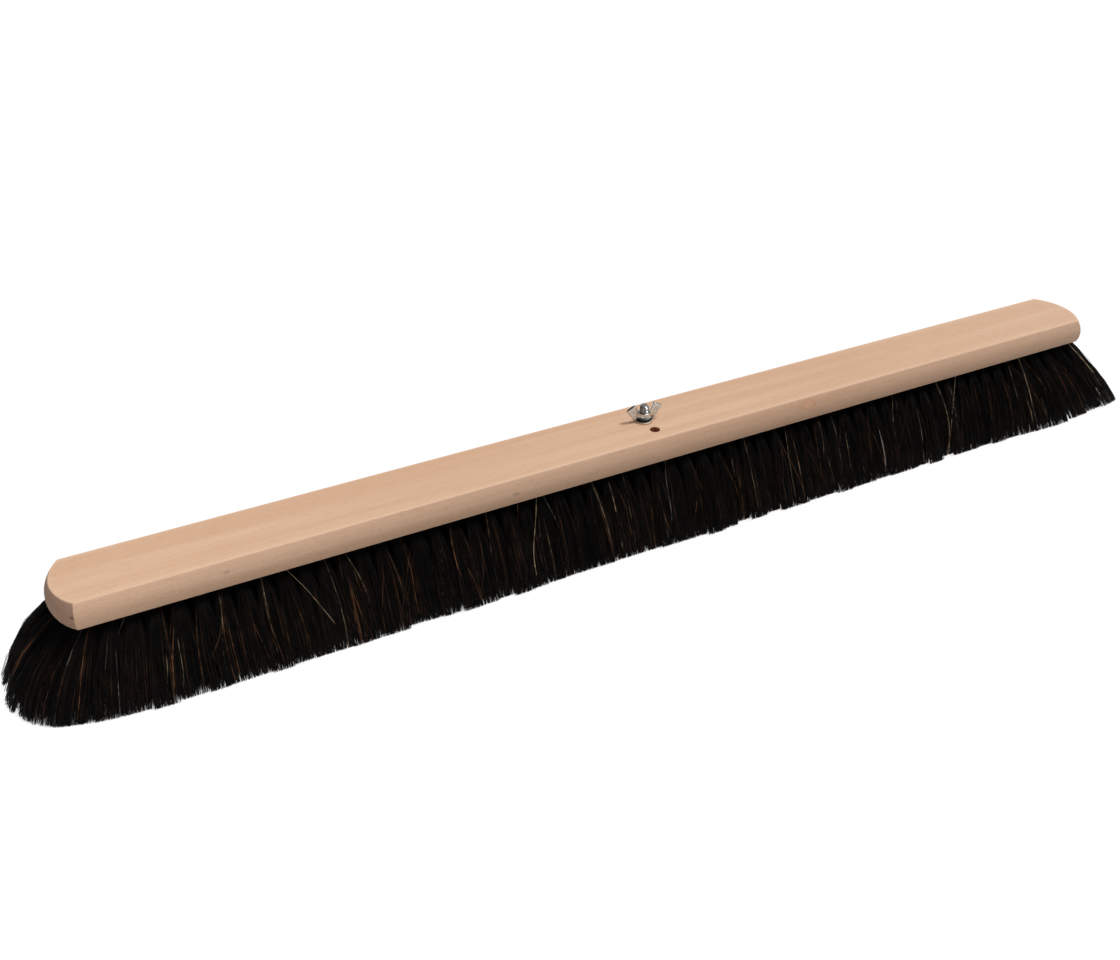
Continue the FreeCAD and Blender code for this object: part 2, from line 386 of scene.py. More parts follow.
class Signal:
    """A shader output that takes part in Python arithmetic, one Math node per operator."""

    def __init__(self, graph: "Graph", socket: bpy.types.NodeSocket) -> None:
        """Wraps a node's output socket."""
        self.graph = graph
        self.socket = socket

    def _math(self, operation: str, first: Any, second: Any = 0.0) -> "Signal":
        """A Math node on one or two values or links."""
        return self.graph.value("ShaderNodeMath", {"operation": operation},
                                {0: first, 1: second})

    def __add__(self, other: Any) -> "Signal":
        """Sum."""
        return self._math("ADD", self, other)

    def __radd__(self, other: Any) -> "Signal":
        """Sum, with the number first."""
        return self._math("ADD", other, self)

    def __sub__(self, other: Any) -> "Signal":
        """Difference."""
        return self._math("SUBTRACT", self, other)

    def __rsub__(self, other: Any) -> "Signal":
        """Difference, with the number first."""
        return self._math("SUBTRACT", other, self)

    def __mul__(self, other: Any) -> "Signal":
        """Product."""
        return self._math("MULTIPLY", self, other)

    def __rmul__(self, other: Any) -> "Signal":
        """Product, with the number first."""
        return self._math("MULTIPLY", other, self)

    def __truediv__(self, other: Any) -> "Signal":
        """Quotient."""
        return self._math("DIVIDE", self, other)

    def __abs__(self) -> "Signal":
        """Size without its sign."""
        return self._math("ABSOLUTE", self)

    def least(self, other: Any) -> "Signal":
        """The smaller of the two."""
        return self._math("MINIMUM", self, other)

    def most(self, other: Any) -> "Signal":
        """The larger of the two."""
        return self._math("MAXIMUM", self, other)

    def hypot(self, *others: "Signal") -> "Signal":
        """Length of the vector that has this and the others as its components."""
        squares = sum((other * other for other in others), self * self)
        return self._math("SQRT", squares)

    def rise(self, low: float, high: float) -> "Signal":
        """A smooth step.

        Args:
            low: Where the step leaves 0.
            high: Where it reaches 1; below low, the step falls instead.

        Returns:
            A value from 0 to 1.
        """
        falling = high < low
        least, most = sorted((low, high))
        step = self.graph.value("ShaderNodeMapRange", {"interpolation_type": "SMOOTHSTEP"},
                                {"Value": self, "From Min": least, "From Max": most})
        return 1 - step if falling else step


@dataclass(frozen=True)
class Pattern:
    """Noise that can be turned into a mask.

    Attributes:
        scale: How fine it is along X, Y and Z, in bumps per metre.
        step: Values of the noise where the mask leaves 0 and where it is full.
        share: Value of the mask where it is full.
        detail: Finer octaves of the noise.
        roughness: How strong these are.
    """

    scale: Point
    step: Pair = (0.0, 1.0)
    share: float = 1.0
    detail: float = 2.0
    roughness: float = 0.5

    def mask(self, noise: Signal) -> Signal:
        """The mask that the step makes of the noise."""
        return noise.rise(*self.step) * self.share


class Graph:
    """The node tree of one material or of the world."""

    def __init__(self, owner: bpy.types.Material | bpy.types.World) -> None:
        """Empties the owner's node tree.

        Args:
            owner: The material or the world.
        """
        owner.use_nodes = True
        self.tree = owner.node_tree
        self.tree.nodes.clear()

    def node(self, kind: str, settings: dict[str, Any] | None = None,
             inputs: dict[str | int, Any] | None = None) -> bpy.types.Node:
        """Adds a node.

        Args:
            kind: Its type.
            settings: Its own properties, set first.
            inputs: Values or links of its sockets, by name or number.

        Returns:
            The new node.
        """
        made = self.tree.nodes.new(kind)
        for name, value in (settings or {}).items():
            setattr(made, name, value)
        for name, value in (inputs or {}).items():
            self.feed(made.inputs[name], value)
        return made

    def feed(self, socket: bpy.types.NodeSocket, value: Any) -> None:
        """Links a signal or socket to an input, or sets the input's own value.

        Args:
            socket: The input.
            value: A Signal, an output socket, a number, a vector or a colour.
        """
        if isinstance(value, Signal):
            self.tree.links.new(value.socket, socket)
        elif isinstance(value, bpy.types.NodeSocket):
            self.tree.links.new(value, socket)
        elif socket.type == "RGBA" and len(value) == 3:
            socket.default_value = (*value, 1.0)
        else:
            socket.default_value = value

    def value(self, kind: str, settings: dict[str, Any] | None = None,
              inputs: dict[str | int, Any] | None = None, output: str | int = 0) -> Signal:
        """Adds a node and wraps one of its outputs as a signal."""
        return Signal(self, self.node(kind, settings, inputs).outputs[output])

    def axes(self, kind: str = "Object") -> tuple[bpy.types.NodeSocket, Signal, Signal, Signal]:
        """Coordinates, whole and as separate X, Y and Z signals.

        Args:
            kind: Which of the coordinate node's outputs.

        Returns:
            The whole coordinates, X, Y and Z.
        """
        whole = self.node("ShaderNodeTexCoord").outputs[kind]
        split = self.node("ShaderNodeSeparateXYZ", inputs={0: whole})
        return (whole, *(Signal(self, split.outputs[axis]) for axis in range(3)))

    def stretched(self, where: bpy.types.NodeSocket, scale: Point) -> bpy.types.NodeSocket:
        """Coordinates scaled for a pattern that runs along one axis."""
        return self.node("ShaderNodeMapping", {"vector_type": "POINT"},
                         {"Vector": where, "Scale": scale}).outputs[0]

    def noise(self, where: bpy.types.NodeSocket, pattern: Pattern) -> Signal:
        """A pattern's smooth noise from 0 to 1, about 0.5 on average."""
        return self.value("ShaderNodeTexNoise", inputs={
            "Vector": self.stretched(where, pattern.scale), "Scale": 1.0,
            "Detail": pattern.detail, "Roughness": pattern.roughness})

    def blend(self, share: Any, first: Any, second: Any) -> bpy.types.NodeSocket:
        """Mixes two colours or links, with a share of the second from 0 to 1."""
        return self.node("ShaderNodeMix", {"data_type": "RGBA"},
                         {0: share, 6: first, 7: second}).outputs[2]

    def layered(self, base: Any, layers: list[tuple[Any, Colour]]) -> Any:
        """Lays colours over a base, in order.

        Args:
            base: Colour or link under the others.
            layers: How much of a colour shows, from 0 to 1, and the colour.

        Returns:
            The top colour's socket.
        """
        for mask, colour in layers:
            base = self.blend(mask, base, colour)
        return base

    def bump(self, height: Any, strength: float, distance: float) -> bpy.types.NodeSocket:
        """A normal from a height signal."""
        return self.node("ShaderNodeBump", inputs={
            "Strength": strength, "Distance": distance, "Height": height}).outputs[0]

    def finish(self, shader: bpy.types.NodeSocket) -> None:
        """Links a shader to the material's output."""
        self.node("ShaderNodeOutputMaterial", inputs={0: shader})

    def principled(self, **inputs: Any) -> None:
        """Ends the material in one Principled shader; names use _ for a space."""
        named = {name.replace("_", " "): value for name, value in inputs.items()}
        self.finish(self.node("ShaderNodeBsdfPrincipled", inputs=named).outputs[0])


# ---- finishes ----------------------------------------------------------------------


@dataclass(frozen=True)
class Nick:
    """A small dark nick in the wood.

    Attributes:
        place: Its middle.
        radius: Its radius.
        share: How much of the nicks' colour it takes.
    """

    place: Point
    radius: float
    share: float


@dataclass(frozen=True)
class Beech:
    """Sanded, unvarnished steamed beech with its grain along X.

    Attributes:
        board: The block's sizes.
        heart: Colour of the wood between the bands.
        pale: Colour of the paler bands.
        warm: Colour of the pinker bands.
        fleck: Colour of the ray flecks.
        end_grain: Colour that the cut ends are mixed towards.
        shaded: Painted shade: colour that the sides are mixed towards near the top, darker there
            than the light alone makes them.
        arris_and_highlight: Colour of the sanded edges, paler also as a painted highlight along
            them.
        drilled: Painted shade: colour that the inside of the locating hole is mixed towards, dark
            as a recess.
        bands: Broad bands, some 15 mm wide and half a metre long.
        lines: Fine growth lines.
        drift: Slow change of tone along the board.
        mottle: Soft mottling.
        pores: Fine open pores.
        rays: Ray flecks, short dark dashes of about 2 mm.
        sparse: Where those dashes are dense.
        specks: Ends of the rays, on the sides that are cut across them.
        rings: Unevenness of the end grain.
        knot: Colour of the small knot.
        knot_rim: Colour of the ring round it.
        knot_place: Where the knot is on the front.
        knot_size: Its half length and half height.
        nick: Colour of the nicks.
        nicks: The nicks.
    """

    board: Board
    heart: Colour = (0.640, 0.410, 0.268)
    pale: Colour = (0.735, 0.500, 0.345)
    warm: Colour = (0.615, 0.370, 0.235)
    fleck: Colour = (0.430, 0.235, 0.135)
    end_grain: Colour = (0.305, 0.178, 0.122)
    shaded: Colour = (0.200, 0.100, 0.070)
    arris_and_highlight: Colour = (0.760, 0.530, 0.370)
    drilled: Colour = (0.330, 0.115, 0.048)
    bands: Pattern = Pattern((1.6, 62, 70), (0.36, 0.66), 1.0, 3.0, 0.55)
    lines: Pattern = Pattern((7, 420, 420), (0.40, 0.62), 0.34, 3.0, 0.6)
    drift: Pattern = Pattern((3, 3, 3), (0.35, 0.70), 0.30)
    mottle: Pattern = Pattern((90, 240, 240), (0.52, 0.72), 0.13, 3.0, 0.6)
    pores: Pattern = Pattern((60, 1500, 1500), (0.58, 0.74), 0.24, 2.0, 0.6)
    rays: Pattern = Pattern((190, 760, 760), (0.32, 0.12))
    sparse: Pattern = Pattern((45, 90, 90), (0.46, 0.64), 1.0, 1.0)
    specks: Pattern = Pattern((420, 1250, 1250), (0.52, 0.68), 0.26)
    rings: Pattern = Pattern((60, 240, 500), detail=4.0, roughness=0.7)
    knot: Colour = (0.820, 0.410, 0.240)
    knot_rim: Colour = (0.520, 0.235, 0.120)
    knot_place: Point = (0.150, -0.0325, 0.0838)
    knot_size: Pair = (0.0080, 0.0046)
    nick: Colour = (0.170, 0.080, 0.045)
    nicks: tuple[Nick, ...] = (Nick((-0.142, -0.0338, 0.0785), 0.0014, 0.3),
                               Nick((-0.3775, -0.0338, 0.0824), 0.0012, 0.3),
                               Nick((-0.4873, -0.0324, 0.0799), 0.0012, 0.85))

    def material(self) -> bpy.types.Material:
        """Builds the wood from noise stretched along the grain.

        Returns:
            The material.
        """
        made = bpy.data.materials.new("beech")
        graph = Graph(made)
        where, x, y, z = graph.axes()
        bands, lines, drift, mottle, pores, sparse, specks, rings = (
            graph.noise(where, pattern) for pattern in (
                self.bands, self.lines, self.drift, self.mottle, self.pores, self.sparse,
                self.specks, self.rings))
        rays = graph.value("ShaderNodeTexVoronoi", {"feature": "F1"}, {
            "Vector": graph.stretched(where, self.rays.scale), "Scale": 1.0}, "Distance")
        dashes = self.rays.mask(rays) * self.sparse.mask(sparse)
        ends, edge = self._end_wall(x, y, z), self._arris(x, y, z)
        sides = self._below_top(z, 0.0004, 0.0012) * (1 - ends)
        knot, rim = self._knot(x, y, z, mottle)
        colour = graph.layered(self.warm, [
            (self.bands.mask(bands), self.pale),
            (0.45, self.heart),
            (self.lines.mask(lines), self.warm),
            (self.drift.mask(drift), self.pale),
            (self.mottle.mask(mottle), self.fleck),
            (self.pores.mask(pores), self.fleck),
            (dashes * 0.38, self.fleck),
            (self.specks.mask(specks) * sides, self.fleck),
            # Painted shade: the upper part of the sides is darkened beyond what the light does.
            (sides * z.rise(self.board.top - 0.018, self.board.top - 0.004) * 0.16, self.shaded),
            (ends * (0.60 + 0.40 * rings), self.end_grain),
            # Sanding wear and a painted highlight along the crease round the top.
            (edge * 0.3, self.arris_and_highlight),
            # Painted highlight: a pale line along the bottom edge of the sides and ends, in the
            # same pale colour.
            (z.rise(self.board.underside + 0.0016, self.board.underside + 0.0006) * 0.35,
             self.arris_and_highlight),
            (knot * 0.24, self.knot),
            (rim * 0.34, self.knot_rim),
            *((self._inside(x, y, z, nick) * nick.share, self.nick) for nick in self.nicks),
            # Painted shade inside the locating hole.
            (self._in_hole(x, y, z) * 0.92, self.drilled)])
        relief = lines * 0.5 + pores * 0.35 - dashes * 0.3
        graph.principled(
            Base_Color=colour, Roughness=0.44 + 0.14 * lines + 0.16 * ends,
            Specular_IOR_Level=0.35, Normal=graph.bump(relief, 0.25, 0.00012))
        return made

    def _below_top(self, z: Signal, start: float, full: float) -> Signal:
        """Rises from 0 to 1 between two depths below the flat top."""
        return z.rise(self.board.top - start, self.board.top - full)

    def _insets(self, x: Signal, y: Signal) -> tuple[Signal, Signal]:
        """How far inside the end edge and the side edge of the flat top a point is."""
        out = (abs(x) - self.board.end_centre).most(0.0)
        return self.board.end_radius - out.hypot(y), self.board.top_half_width - abs(y)

    def _end_wall(self, x: Signal, y: Signal, z: Signal) -> Signal:
        """1 on the rounded ends below the top, where the grain is cut across.

        The end walls and the side walls bulge alike, so whichever of the two edges of
        the flat top is nearer decides which wall a point is on.

        Args:
            x: X of the point.
            y: Its Y.
            z: Its Z.

        Returns:
            The mask.
        """
        to_end, to_side = self._insets(x, y)
        return (to_side - to_end).rise(0.0, 0.0004) * self._below_top(z, 0.0003, 0.0008)

    def _arris(self, x: Signal, y: Signal, z: Signal) -> Signal:
        """1 at the sanded crease round the top, fading over a few millimetres of top; it lays on
        sanding wear and a painted highlight.

        Args:
            x: X of the point.
            y: Its Y.
            z: Its Z.

        Returns:
            The mask.
        """
        to_end, to_side = self._insets(x, y)
        inside = to_side.least(to_end)
        crease = abs(inside).rise(0.0010, 0.0005) * self._below_top(z, 0.0010, 0.0007)
        band = inside.rise(0.0042, 0.0012) * self._below_top(z, 0.0003, 0.0001)
        return crease.most(band * 0.6)

    def _knot(self, x: Signal, y: Signal, z: Signal, mottle: Signal) -> tuple[Signal, Signal]:
        """The knot and its rim: an uneven oval, longer than it is high.

        Args:
            x: X of the point.
            y: Its Y.
            z: Its Z.
            mottle: Noise that makes the oval uneven.

        Returns:
            The masks of its inside and of its rim.
        """
        across = (x - self.knot_place[0]) / self.knot_size[0]
        up = (z - self.knot_place[2]) / self.knot_size[1]
        away = across.hypot(up) + (mottle - 0.5) * 0.7
        front = y.rise(self.knot_place[1] + 0.006, self.knot_place[1] + 0.004)
        rim = away.rise(0.45, 0.85) * away.rise(1.25, 0.90)
        return away.rise(1.15, 0.7) * front, rim * front

    def _in_hole(self, x: Signal, y: Signal, z: Signal) -> Signal:
        """1 inside the locating hole, from just below its rim to its floor.

        Args:
            x: X of the point.
            y: Its Y.
            z: Its Z.

        Returns:
            The mask.
        """
        board = self.board
        away = (x - board.hole[0]).hypot(y - board.hole[1])
        return away.rise(board.hole_radius + 0.0004, board.hole_radius + 0.0002) \
            * self._below_top(z, 0.0002, 0.0016) \
            * self._below_top(z, board.hole_depth + 0.002, board.hole_depth + 0.001)

    def _inside(self, x: Signal, y: Signal, z: Signal, nick: Nick) -> Signal:
        """1 inside a nick, which is twice as long along the grain as across it.

        Args:
            x: X of the point.
            y: Its Y.
            z: Its Z.
            nick: The nick.

        Returns:
            The mask.
        """
        place = nick.place
        away = ((x - place[0]) / 2).hypot(y - place[1], z - place[2])
        return away.rise(nick.radius * 1.6, nick.radius * 0.6)


@dataclass(frozen=True)
class HairFinish:
    """Stiff dyed and natural hair; each fibre brings its own colour as an attribute.

    Attributes:
        colour_attribute: Name of the fibres' colour.
        along_attribute: Name of the run from 0 at the root to 1 at the tip.
        shadow: Painted shadow: colour at the root, deep among the other hairs.
        painted_shadow_run: Where that painted shadow ends and where it is full.
        painted_dip_shade: Painted shade: colour of the stretches where a fibre seems to dip among
            its neighbours.
        dust: Colour of the dust on the tips.
        dips: Where that painted shade lies, which breaks up the fibres' light stretches.
        patches: Where the dust lies.
        roughness: Least roughness.
        shine: Specular level.
    """

    colour_attribute: str = "fibre_colour"
    along_attribute: str = "fibre_along"
    shadow: Colour = (0.0015, 0.0012, 0.0010)
    painted_shadow_run: Pair = (0.50, 0.12)
    painted_dip_shade: Colour = (0.0040, 0.0030, 0.0026)
    dust: Colour = (0.20, 0.14, 0.10)
    dips: Pattern = Pattern((150, 150, 75), (0.54, 0.45), 0.66, 2.0, 0.6)
    patches: Pattern = Pattern((160, 160, 60), (0.45, 0.75), 0.05)
    roughness: float = 0.52
    shine: float = 0.11

    def material(self) -> bpy.types.Material:
        """Builds the hair: its own colour, dusty towards the tip and darkened by painted shadow
        at the root.

        Returns:
            The material.
        """
        made = bpy.data.materials.new("hair")
        graph = Graph(made)
        own = graph.node("ShaderNodeAttribute",
                         {"attribute_name": self.colour_attribute}).outputs["Color"]
        along = graph.value("ShaderNodeAttribute", {"attribute_name": self.along_attribute},
                            output="Fac")
        where = graph.axes()[0]
        patches, dips = (graph.noise(where, pattern) for pattern in (self.patches, self.dips))
        light = graph.value("ShaderNodeRGBToBW", inputs={0: own})
        # Painted shadow at the root; light hairs lie in front of the others, so it spares them.
        root = along.rise(*self.painted_shadow_run) * (1 - 0.8 * light.rise(0.08, 0.25))
        colour = graph.layered(own, [
            (root * 0.88, self.shadow),
            # Painted shade: random dark stretches along the fibres.
            (self.dips.mask(dips), self.painted_dip_shade),
            (self.patches.mask(patches) * along, self.dust)])
        graph.principled(Base_Color=colour, Roughness=self.roughness + 0.16 * patches,
                         Specular_IOR_Level=self.shine)
        return made


@dataclass(frozen=True)
class ZincPlate:
    """Bright zinc plating over pressed or cast steel.

    Attributes:
        name: Name of the material.
        colour: Colour of the clean plating.
        dull: Colour of the duller patches.
        roughness: Roughness of the clean plating.
        patches: Where the plating is duller.
        grit: Its fine grit.
    """

    name: str
    colour: Colour = (0.66, 0.655, 0.62)
    dull: Colour = (0.42, 0.41, 0.38)
    roughness: float = 0.20
    patches: Pattern = Pattern((170, 170, 170), (0.42, 0.68), 0.45)
    grit: Pattern = Pattern((2600, 2600, 2600))

    def material(self) -> bpy.types.Material:
        """Builds the plating with soft patches and fine grit.

        Returns:
            The material.
        """
        made = bpy.data.materials.new(self.name)
        graph = Graph(made)
        where, *axes = graph.axes()
        patches, grit = (graph.noise(where, pattern) for pattern in (self.patches, self.grit))
        colour = graph.blend(self.patches.mask(patches), self.colour, self.dull)
        roughness = self.roughness + 0.18 * patches.rise(0.4, 0.7) + 0.06 * grit
        coat = self._worked(graph, axes, patches, {
            "Base_Color": colour, "Metallic": 1.0, "Roughness": roughness})
        graph.principled(**coat, Normal=graph.bump(patches * 0.6 + grit * 0.1, 0.16, 0.00010))
        return made

    def _worked(self, graph: Graph, axes: list[Signal], patches: Signal,
                coat: dict[str, Any]) -> dict[str, Any]:
        """What differs from place to place on the piece: nothing on plain plating."""
        return coat


@dataclass(frozen=True)
class CastZinc(ZincPlate):
    """The wing nut's plating: rougher wings with a painted reflection on their faces and a
    painted dark reflection on their rims, and painted shade in its foot.

    Attributes:
        axis: X and Y of the bolt, which the wings stand off from.
        turned: Degrees that the wings are turned by.
        satin: Colour of the wings' cast faces, pale and beige as a painted reflection of the
            wood.
        rim: Colour of their edges, a painted dark reflection.
        wing_root: Distance from the axis over which the hub passes into the wings.
        face_edge: Half thickness over which a wing's edge passes into its face.
        painted_foot_shade: Colour of the painted shade in the crease at the foot.
        foot_shade_top: Height under which that painted shade fills the crease.
        foot_shade_reach: Distance from the axis over which it ends.
    """

    axis: Pair = (0.0, 0.0)
    turned: float = 0.0
    satin: Colour = (0.80, 0.765, 0.69)
    rim: Colour = (0.26, 0.25, 0.235)
    wing_root: Pair = (0.0076, 0.0090)
    face_edge: Pair = (0.0009, 0.0013)
    painted_foot_shade: Colour = (0.020, 0.018, 0.016)
    foot_shade_top: float = 0.0
    foot_shade_reach: Pair = (0.0086, 0.0078)

    def _worked(self, graph: Graph, axes: list[Signal], patches: Signal,
                coat: dict[str, Any]) -> dict[str, Any]:
        """Makes the wings' faces rougher and pale with a painted reflection, their rims dark with
        a painted dark reflection, and paints shade into the foot.

        Args:
            graph: The material's nodes.
            axes: X, Y and Z.
            patches: Where the plating is duller.
            coat: Colour, metallic and roughness of the plain plating.

        Returns:
            The same three for this piece.
        """
        x, y, z = axes[0] - self.axis[0], axes[1] - self.axis[1], axes[2]
        away, turn = x.hypot(y), math.radians(self.turned)
        wing = away.rise(*self.wing_root)
        face = wing * abs(y * math.cos(turn) - x * math.sin(turn)).rise(*self.face_edge)
        low = z.rise(self.foot_shade_top, self.foot_shade_top - 0.0007) * away.rise(*self.foot_shade_reach)
        colour = graph.layered(coat["Base_Color"], [
            # Painted dark reflection on the wings' rims.
            (wing * (1 - face) * 0.8, self.rim),
            # Painted reflection of the wood: pale beige faces, less metallic and rougher.
            (face * (0.9 - 0.25 * patches), self.satin),
            # Painted shade in the crease at the nut's foot.
            (low * 0.96, self.painted_foot_shade)])
        return {"Base_Color": colour, "Metallic": 1 - 0.55 * face,
                "Roughness": coat["Roughness"] + 0.16 * face + 0.2 * low}


@dataclass(frozen=True)
class AnchorWire:
    """Flattened steel wire, drawn and dull.

    Attributes:
        colour: Colour of the bright steel.
        streak: Colour of the dull streaks.
        streaks: Where these run along the wire.
    """

    colour: Colour = (0.50, 0.49, 0.46)
    streak: Colour = (0.28, 0.26, 0.23)
    streaks: Pattern = Pattern((120, 2400, 2400))

    def material(self) -> bpy.types.Material:
        """Builds the wire with streaks along its length.

        Returns:
            The material.
        """
        made = bpy.data.materials.new("anchor_wire")
        graph = Graph(made)
        streaks = graph.noise(graph.axes()[0], self.streaks)
        graph.principled(Base_Color=graph.blend(streaks * 0.5, self.colour, self.streak),
                         Metallic=1.0, Roughness=0.34 + 0.2 * streaks)
        return made


# ---- the block and its tufts -------------------------------------------------------


@dataclass(frozen=True)
class TuftLayout:
    """Where the tufts stand in the block and where their hair ends on the floor.

    Attributes:
        board: The block's sizes.
        row_count: Number of rows.
        row_pitch: From row to row.
        tuft_pitch: From tuft to tuft; every second row is shifted by half of it.
        tuft_fill: Share of its cell that a tuft fills at the tips.
        spread_end: How far the tips reach beyond the ends of the block.
        spread_side: How far they reach beyond its sides.
        fan_length: Stretch at each end over which the tufts turn outwards.
        fan_power: How late in that stretch they turn.
        fan_corner: How much the corner tufts hold back.
        hole_radius: Radius of a tuft hole.
        hole_margin: Wood between the last hole and the end of the underside.
        slice_margin: Wood between a strip's corner and the end of the underside.
        slice_clearance: Gap all round a strip of the underside.
        slice_depth: Thickness of those strips.
        recess_radius: Radius of the recess for the bolt's head.
        hole_wall: Least wood between that recess and a tuft hole.
    """

    board: Board
    row_count: int = 6
    row_pitch: float = 0.009
    tuft_pitch: float = 0.0156
    tuft_fill: float = 0.86
    spread_end: float = 0.041
    spread_side: float = 0.0255
    fan_length: float = 0.110
    fan_power: float = 1.5
    fan_corner: float = 0.38
    hole_radius: float = 0.00325
    hole_margin: float = 0.0045
    slice_margin: float = 0.0015
    slice_clearance: float = 0.0001
    slice_depth: float = 0.002
    recess_radius: float = 0.011
    hole_wall: float = 0.001

    @property
    def cell(self) -> Pair:
        """Length and width of a tuft's own field before it spreads."""
        return self.tuft_pitch * self.tuft_fill, self.row_pitch * self.tuft_fill

    def row_y(self, row: int) -> float:
        """Y of a row, counted from the front."""
        return (row - (self.row_count - 1) / 2) * self.row_pitch

    def is_outer(self, row: int) -> bool:
        """True for the front row and the back row."""
        return row in (0, self.row_count - 1)

    def row_places(self, row: int) -> Array:
        """X of each tuft in a row; none stands where the bolt's head is let in.

        Args:
            row: The row, counted from the front.

        Returns:
            The places in order from left to right.
        """
        y, reach = self.row_y(row), self.board.underside_reach
        limit = min(reach(abs(y)) - self.hole_margin,
                    reach(abs(y) + self.row_pitch / 2) - self.slice_margin)
        limit -= self.hole_radius
        shift = self.tuft_pitch / 2 if row % 2 == 0 else 0.0
        count = int(limit / self.tuft_pitch) + 1
        places = shift + np.arange(-count - 1, count + 1) * self.tuft_pitch
        keep_off = self.recess_radius + self.hole_radius + self.hole_wall
        clear = np.hypot(places - self.board.bolt[0], y - self.board.bolt[1]) >= keep_off
        return places[(np.abs(places) <= limit) & clear]

    def strip_reach(self, row: int) -> float:
        """How far the seat of a row's strip reaches along X."""
        return self.row_places(row).max() + self.hole_radius + 2 * self.slice_clearance

    def fanned(self, row: int, x: Array, y: Array, held_x: Array, held_y: Array,
               power: Array) -> tuple[Array, Array]:
        """Where points of a row's field end up on the floor once the hair has spread.

        Along the last stretch of the row, x grows by a power of the share of the stretch
        that lies behind it, and y grows in proportion to itself; both grow less towards
        the corners of the field.

        Args:
            row: The row, counted from the front.
            x: Places along the row.
            y: Places across it.
            held_x: How much of the spread along X is held back at a corner.
            held_y: How much of the spread along Y is.
            power: How late towards the corner the spread along X is held back.

        Returns:
            The spread x and y.
        """
        field_side = self.row_y(self.row_count - 1) + self.cell[1] / 2
        side_push = self.board.half_width + self.spread_side - field_side
        row_end = self.row_places(row).max() + self.cell[0] / 2
        end_push = self.board.half_length + self.spread_end - row_end
        along = np.clip((np.abs(x) - (row_end - self.fan_length)) / self.fan_length, 0, 1.05)
        across = np.clip(y / field_side, -1.1, 1.1)
        push_x = end_push * along ** self.fan_power \
            * np.sqrt(np.maximum(0, 1 - held_x * np.abs(across) ** power))
        push_y = side_push * across * np.sqrt(1 - held_y * np.maximum(0, along) ** 4)
        return x + np.copysign(push_x, x), y + push_y


class Hair(Enum):
    """Kinds of hair in the mixture: share in a tuft, share among strays, colour, width."""

    BLACK = (0.713, 0.00, (0.0028, 0.0023, 0.0020), 1.0)
    CHARCOAL = (0.170, 0.12, (0.0085, 0.0065, 0.0057), 1.0)
    DARK_BROWN = (0.100, 0.42, (0.038, 0.018, 0.0098), 1.2)
    BROWN = (0.013, 0.34, (0.150, 0.066, 0.030), 1.4)
    FAIR = (0.0022, 0.080, (0.480, 0.350, 0.220), 1.6)
    GREY = (0.0013, 0.040, (0.430, 0.400, 0.370), 1.4)

    def __init__(self, share: float, stray_share: float, colour: Colour, width: float) -> None:
        """Names the parts of a kind.

        Args:
            share: Share of the fibres in a tuft.
            stray_share: Share among the odd hairs.
            colour: Its colour.
            width: Its thickness, as a share of the mean.
        """
        self.share = share
        self.stray_share = stray_share
        self.colour = colour
        self.width = width


@dataclass(frozen=True)
class Density:
    """How finely a stretch of hair is made.

    Attributes:
        fibres: Fibres in each tuft.
        segments: Straight steps from root to tip.
        radius: Mean half thickness of a fibre at the root.
        stray: True for the odd hairs that bend out across the others.
    """

    fibres: int
    segments: int
    radius: float
    stray: bool = False


@dataclass(frozen=True)
class Scatter:
    """How far fibres lie from their even places, along and across the head.

    Attributes:
        gather: Least and most width of a tuft's tips, as a share of its cell.
        tuft_tip: Deviation of a whole tuft's tips.
        tip: Deviation of a single tip.
        tuft_swerve: Deviation of a whole tuft's one-sided bend.
        swerve: Deviation of a single fibre's.
        wave: Deviation of its S-shaped bend.
        floor_gap: Least height of a tip.
        tuft_trim: Most that a tuft was left longer by the trimming.
        trim: Deviation of a single tip's height.
        width: Least and most thickness, as a share of the mean.
        tone: Deviation of the logarithm of its brightness.
    """

    gather: Pair = (1.04, 1.26)
    tuft_tip: Pair = (0.0008, 0.0005)
    tip: Pair = (0.0009, 0.00025)
    tuft_swerve: float = 0.0004
    swerve: float = 0.0006
    wave: float = 0.0004
    floor_gap: float = 0.0001
    tuft_trim: float = 0.0005
    trim: float = 0.00030
    width: Pair = (0.72, 1.25)
    tone: float = 0.30


@dataclass(frozen=True)
class Straying:
    """How far the odd hairs bend out; heavy-tailed draws let a few go much further.

    Attributes:
        depth: Least and most place across the tuft, 1 being its outside.
        lean: Scale and limit of the tip's shift along the head.
        tuck: How far a tip stays inside the outline.
        tuck_loose: Deviation of that.
        lift: Scale and limit of the tip's height.
        swerve: Further deviation of the one-sided bend, along and across.
        belly: How far the bend stands out in front of the other hair.
        wave: Further deviation of the S-shaped bend, along and across.
    """

    depth: Pair = (0.8, 1.0)
    lean: Pair = (0.0085, 0.026)
    tuck: float = 0.0014
    tuck_loose: float = 0.0006
    lift: Pair = (0.0040, 0.034)
    swerve: Pair = (0.0009, 0.0004)
    belly: float = 0.0009
    wave: Pair = (0.0004, 0.0009)


@dataclass(frozen=True)
class FibreField:
    """Root, tip and bends of many fibres, one row of each array for each fibre.

    Attributes:
        root: XY where a fibre leaves the wood.
        tip: XY of its trimmed tip.
        tip_z: Height of that tip.
        swerve: XY of its one-sided bend, largest halfway down.
        wave: XY of its S-shaped bend.
        bow: How far it bows outwards, as a share of its spread.
        radius: Half its thickness at the root.
        roll: Angle that its three-sided section is turned by.
        colour: Its colour.
    """

    root: Array
    tip: Array
    tip_z: Array
    swerve: Array
    wave: Array
    bow: Array
    radius: Array
    roll: Array
    colour: Array


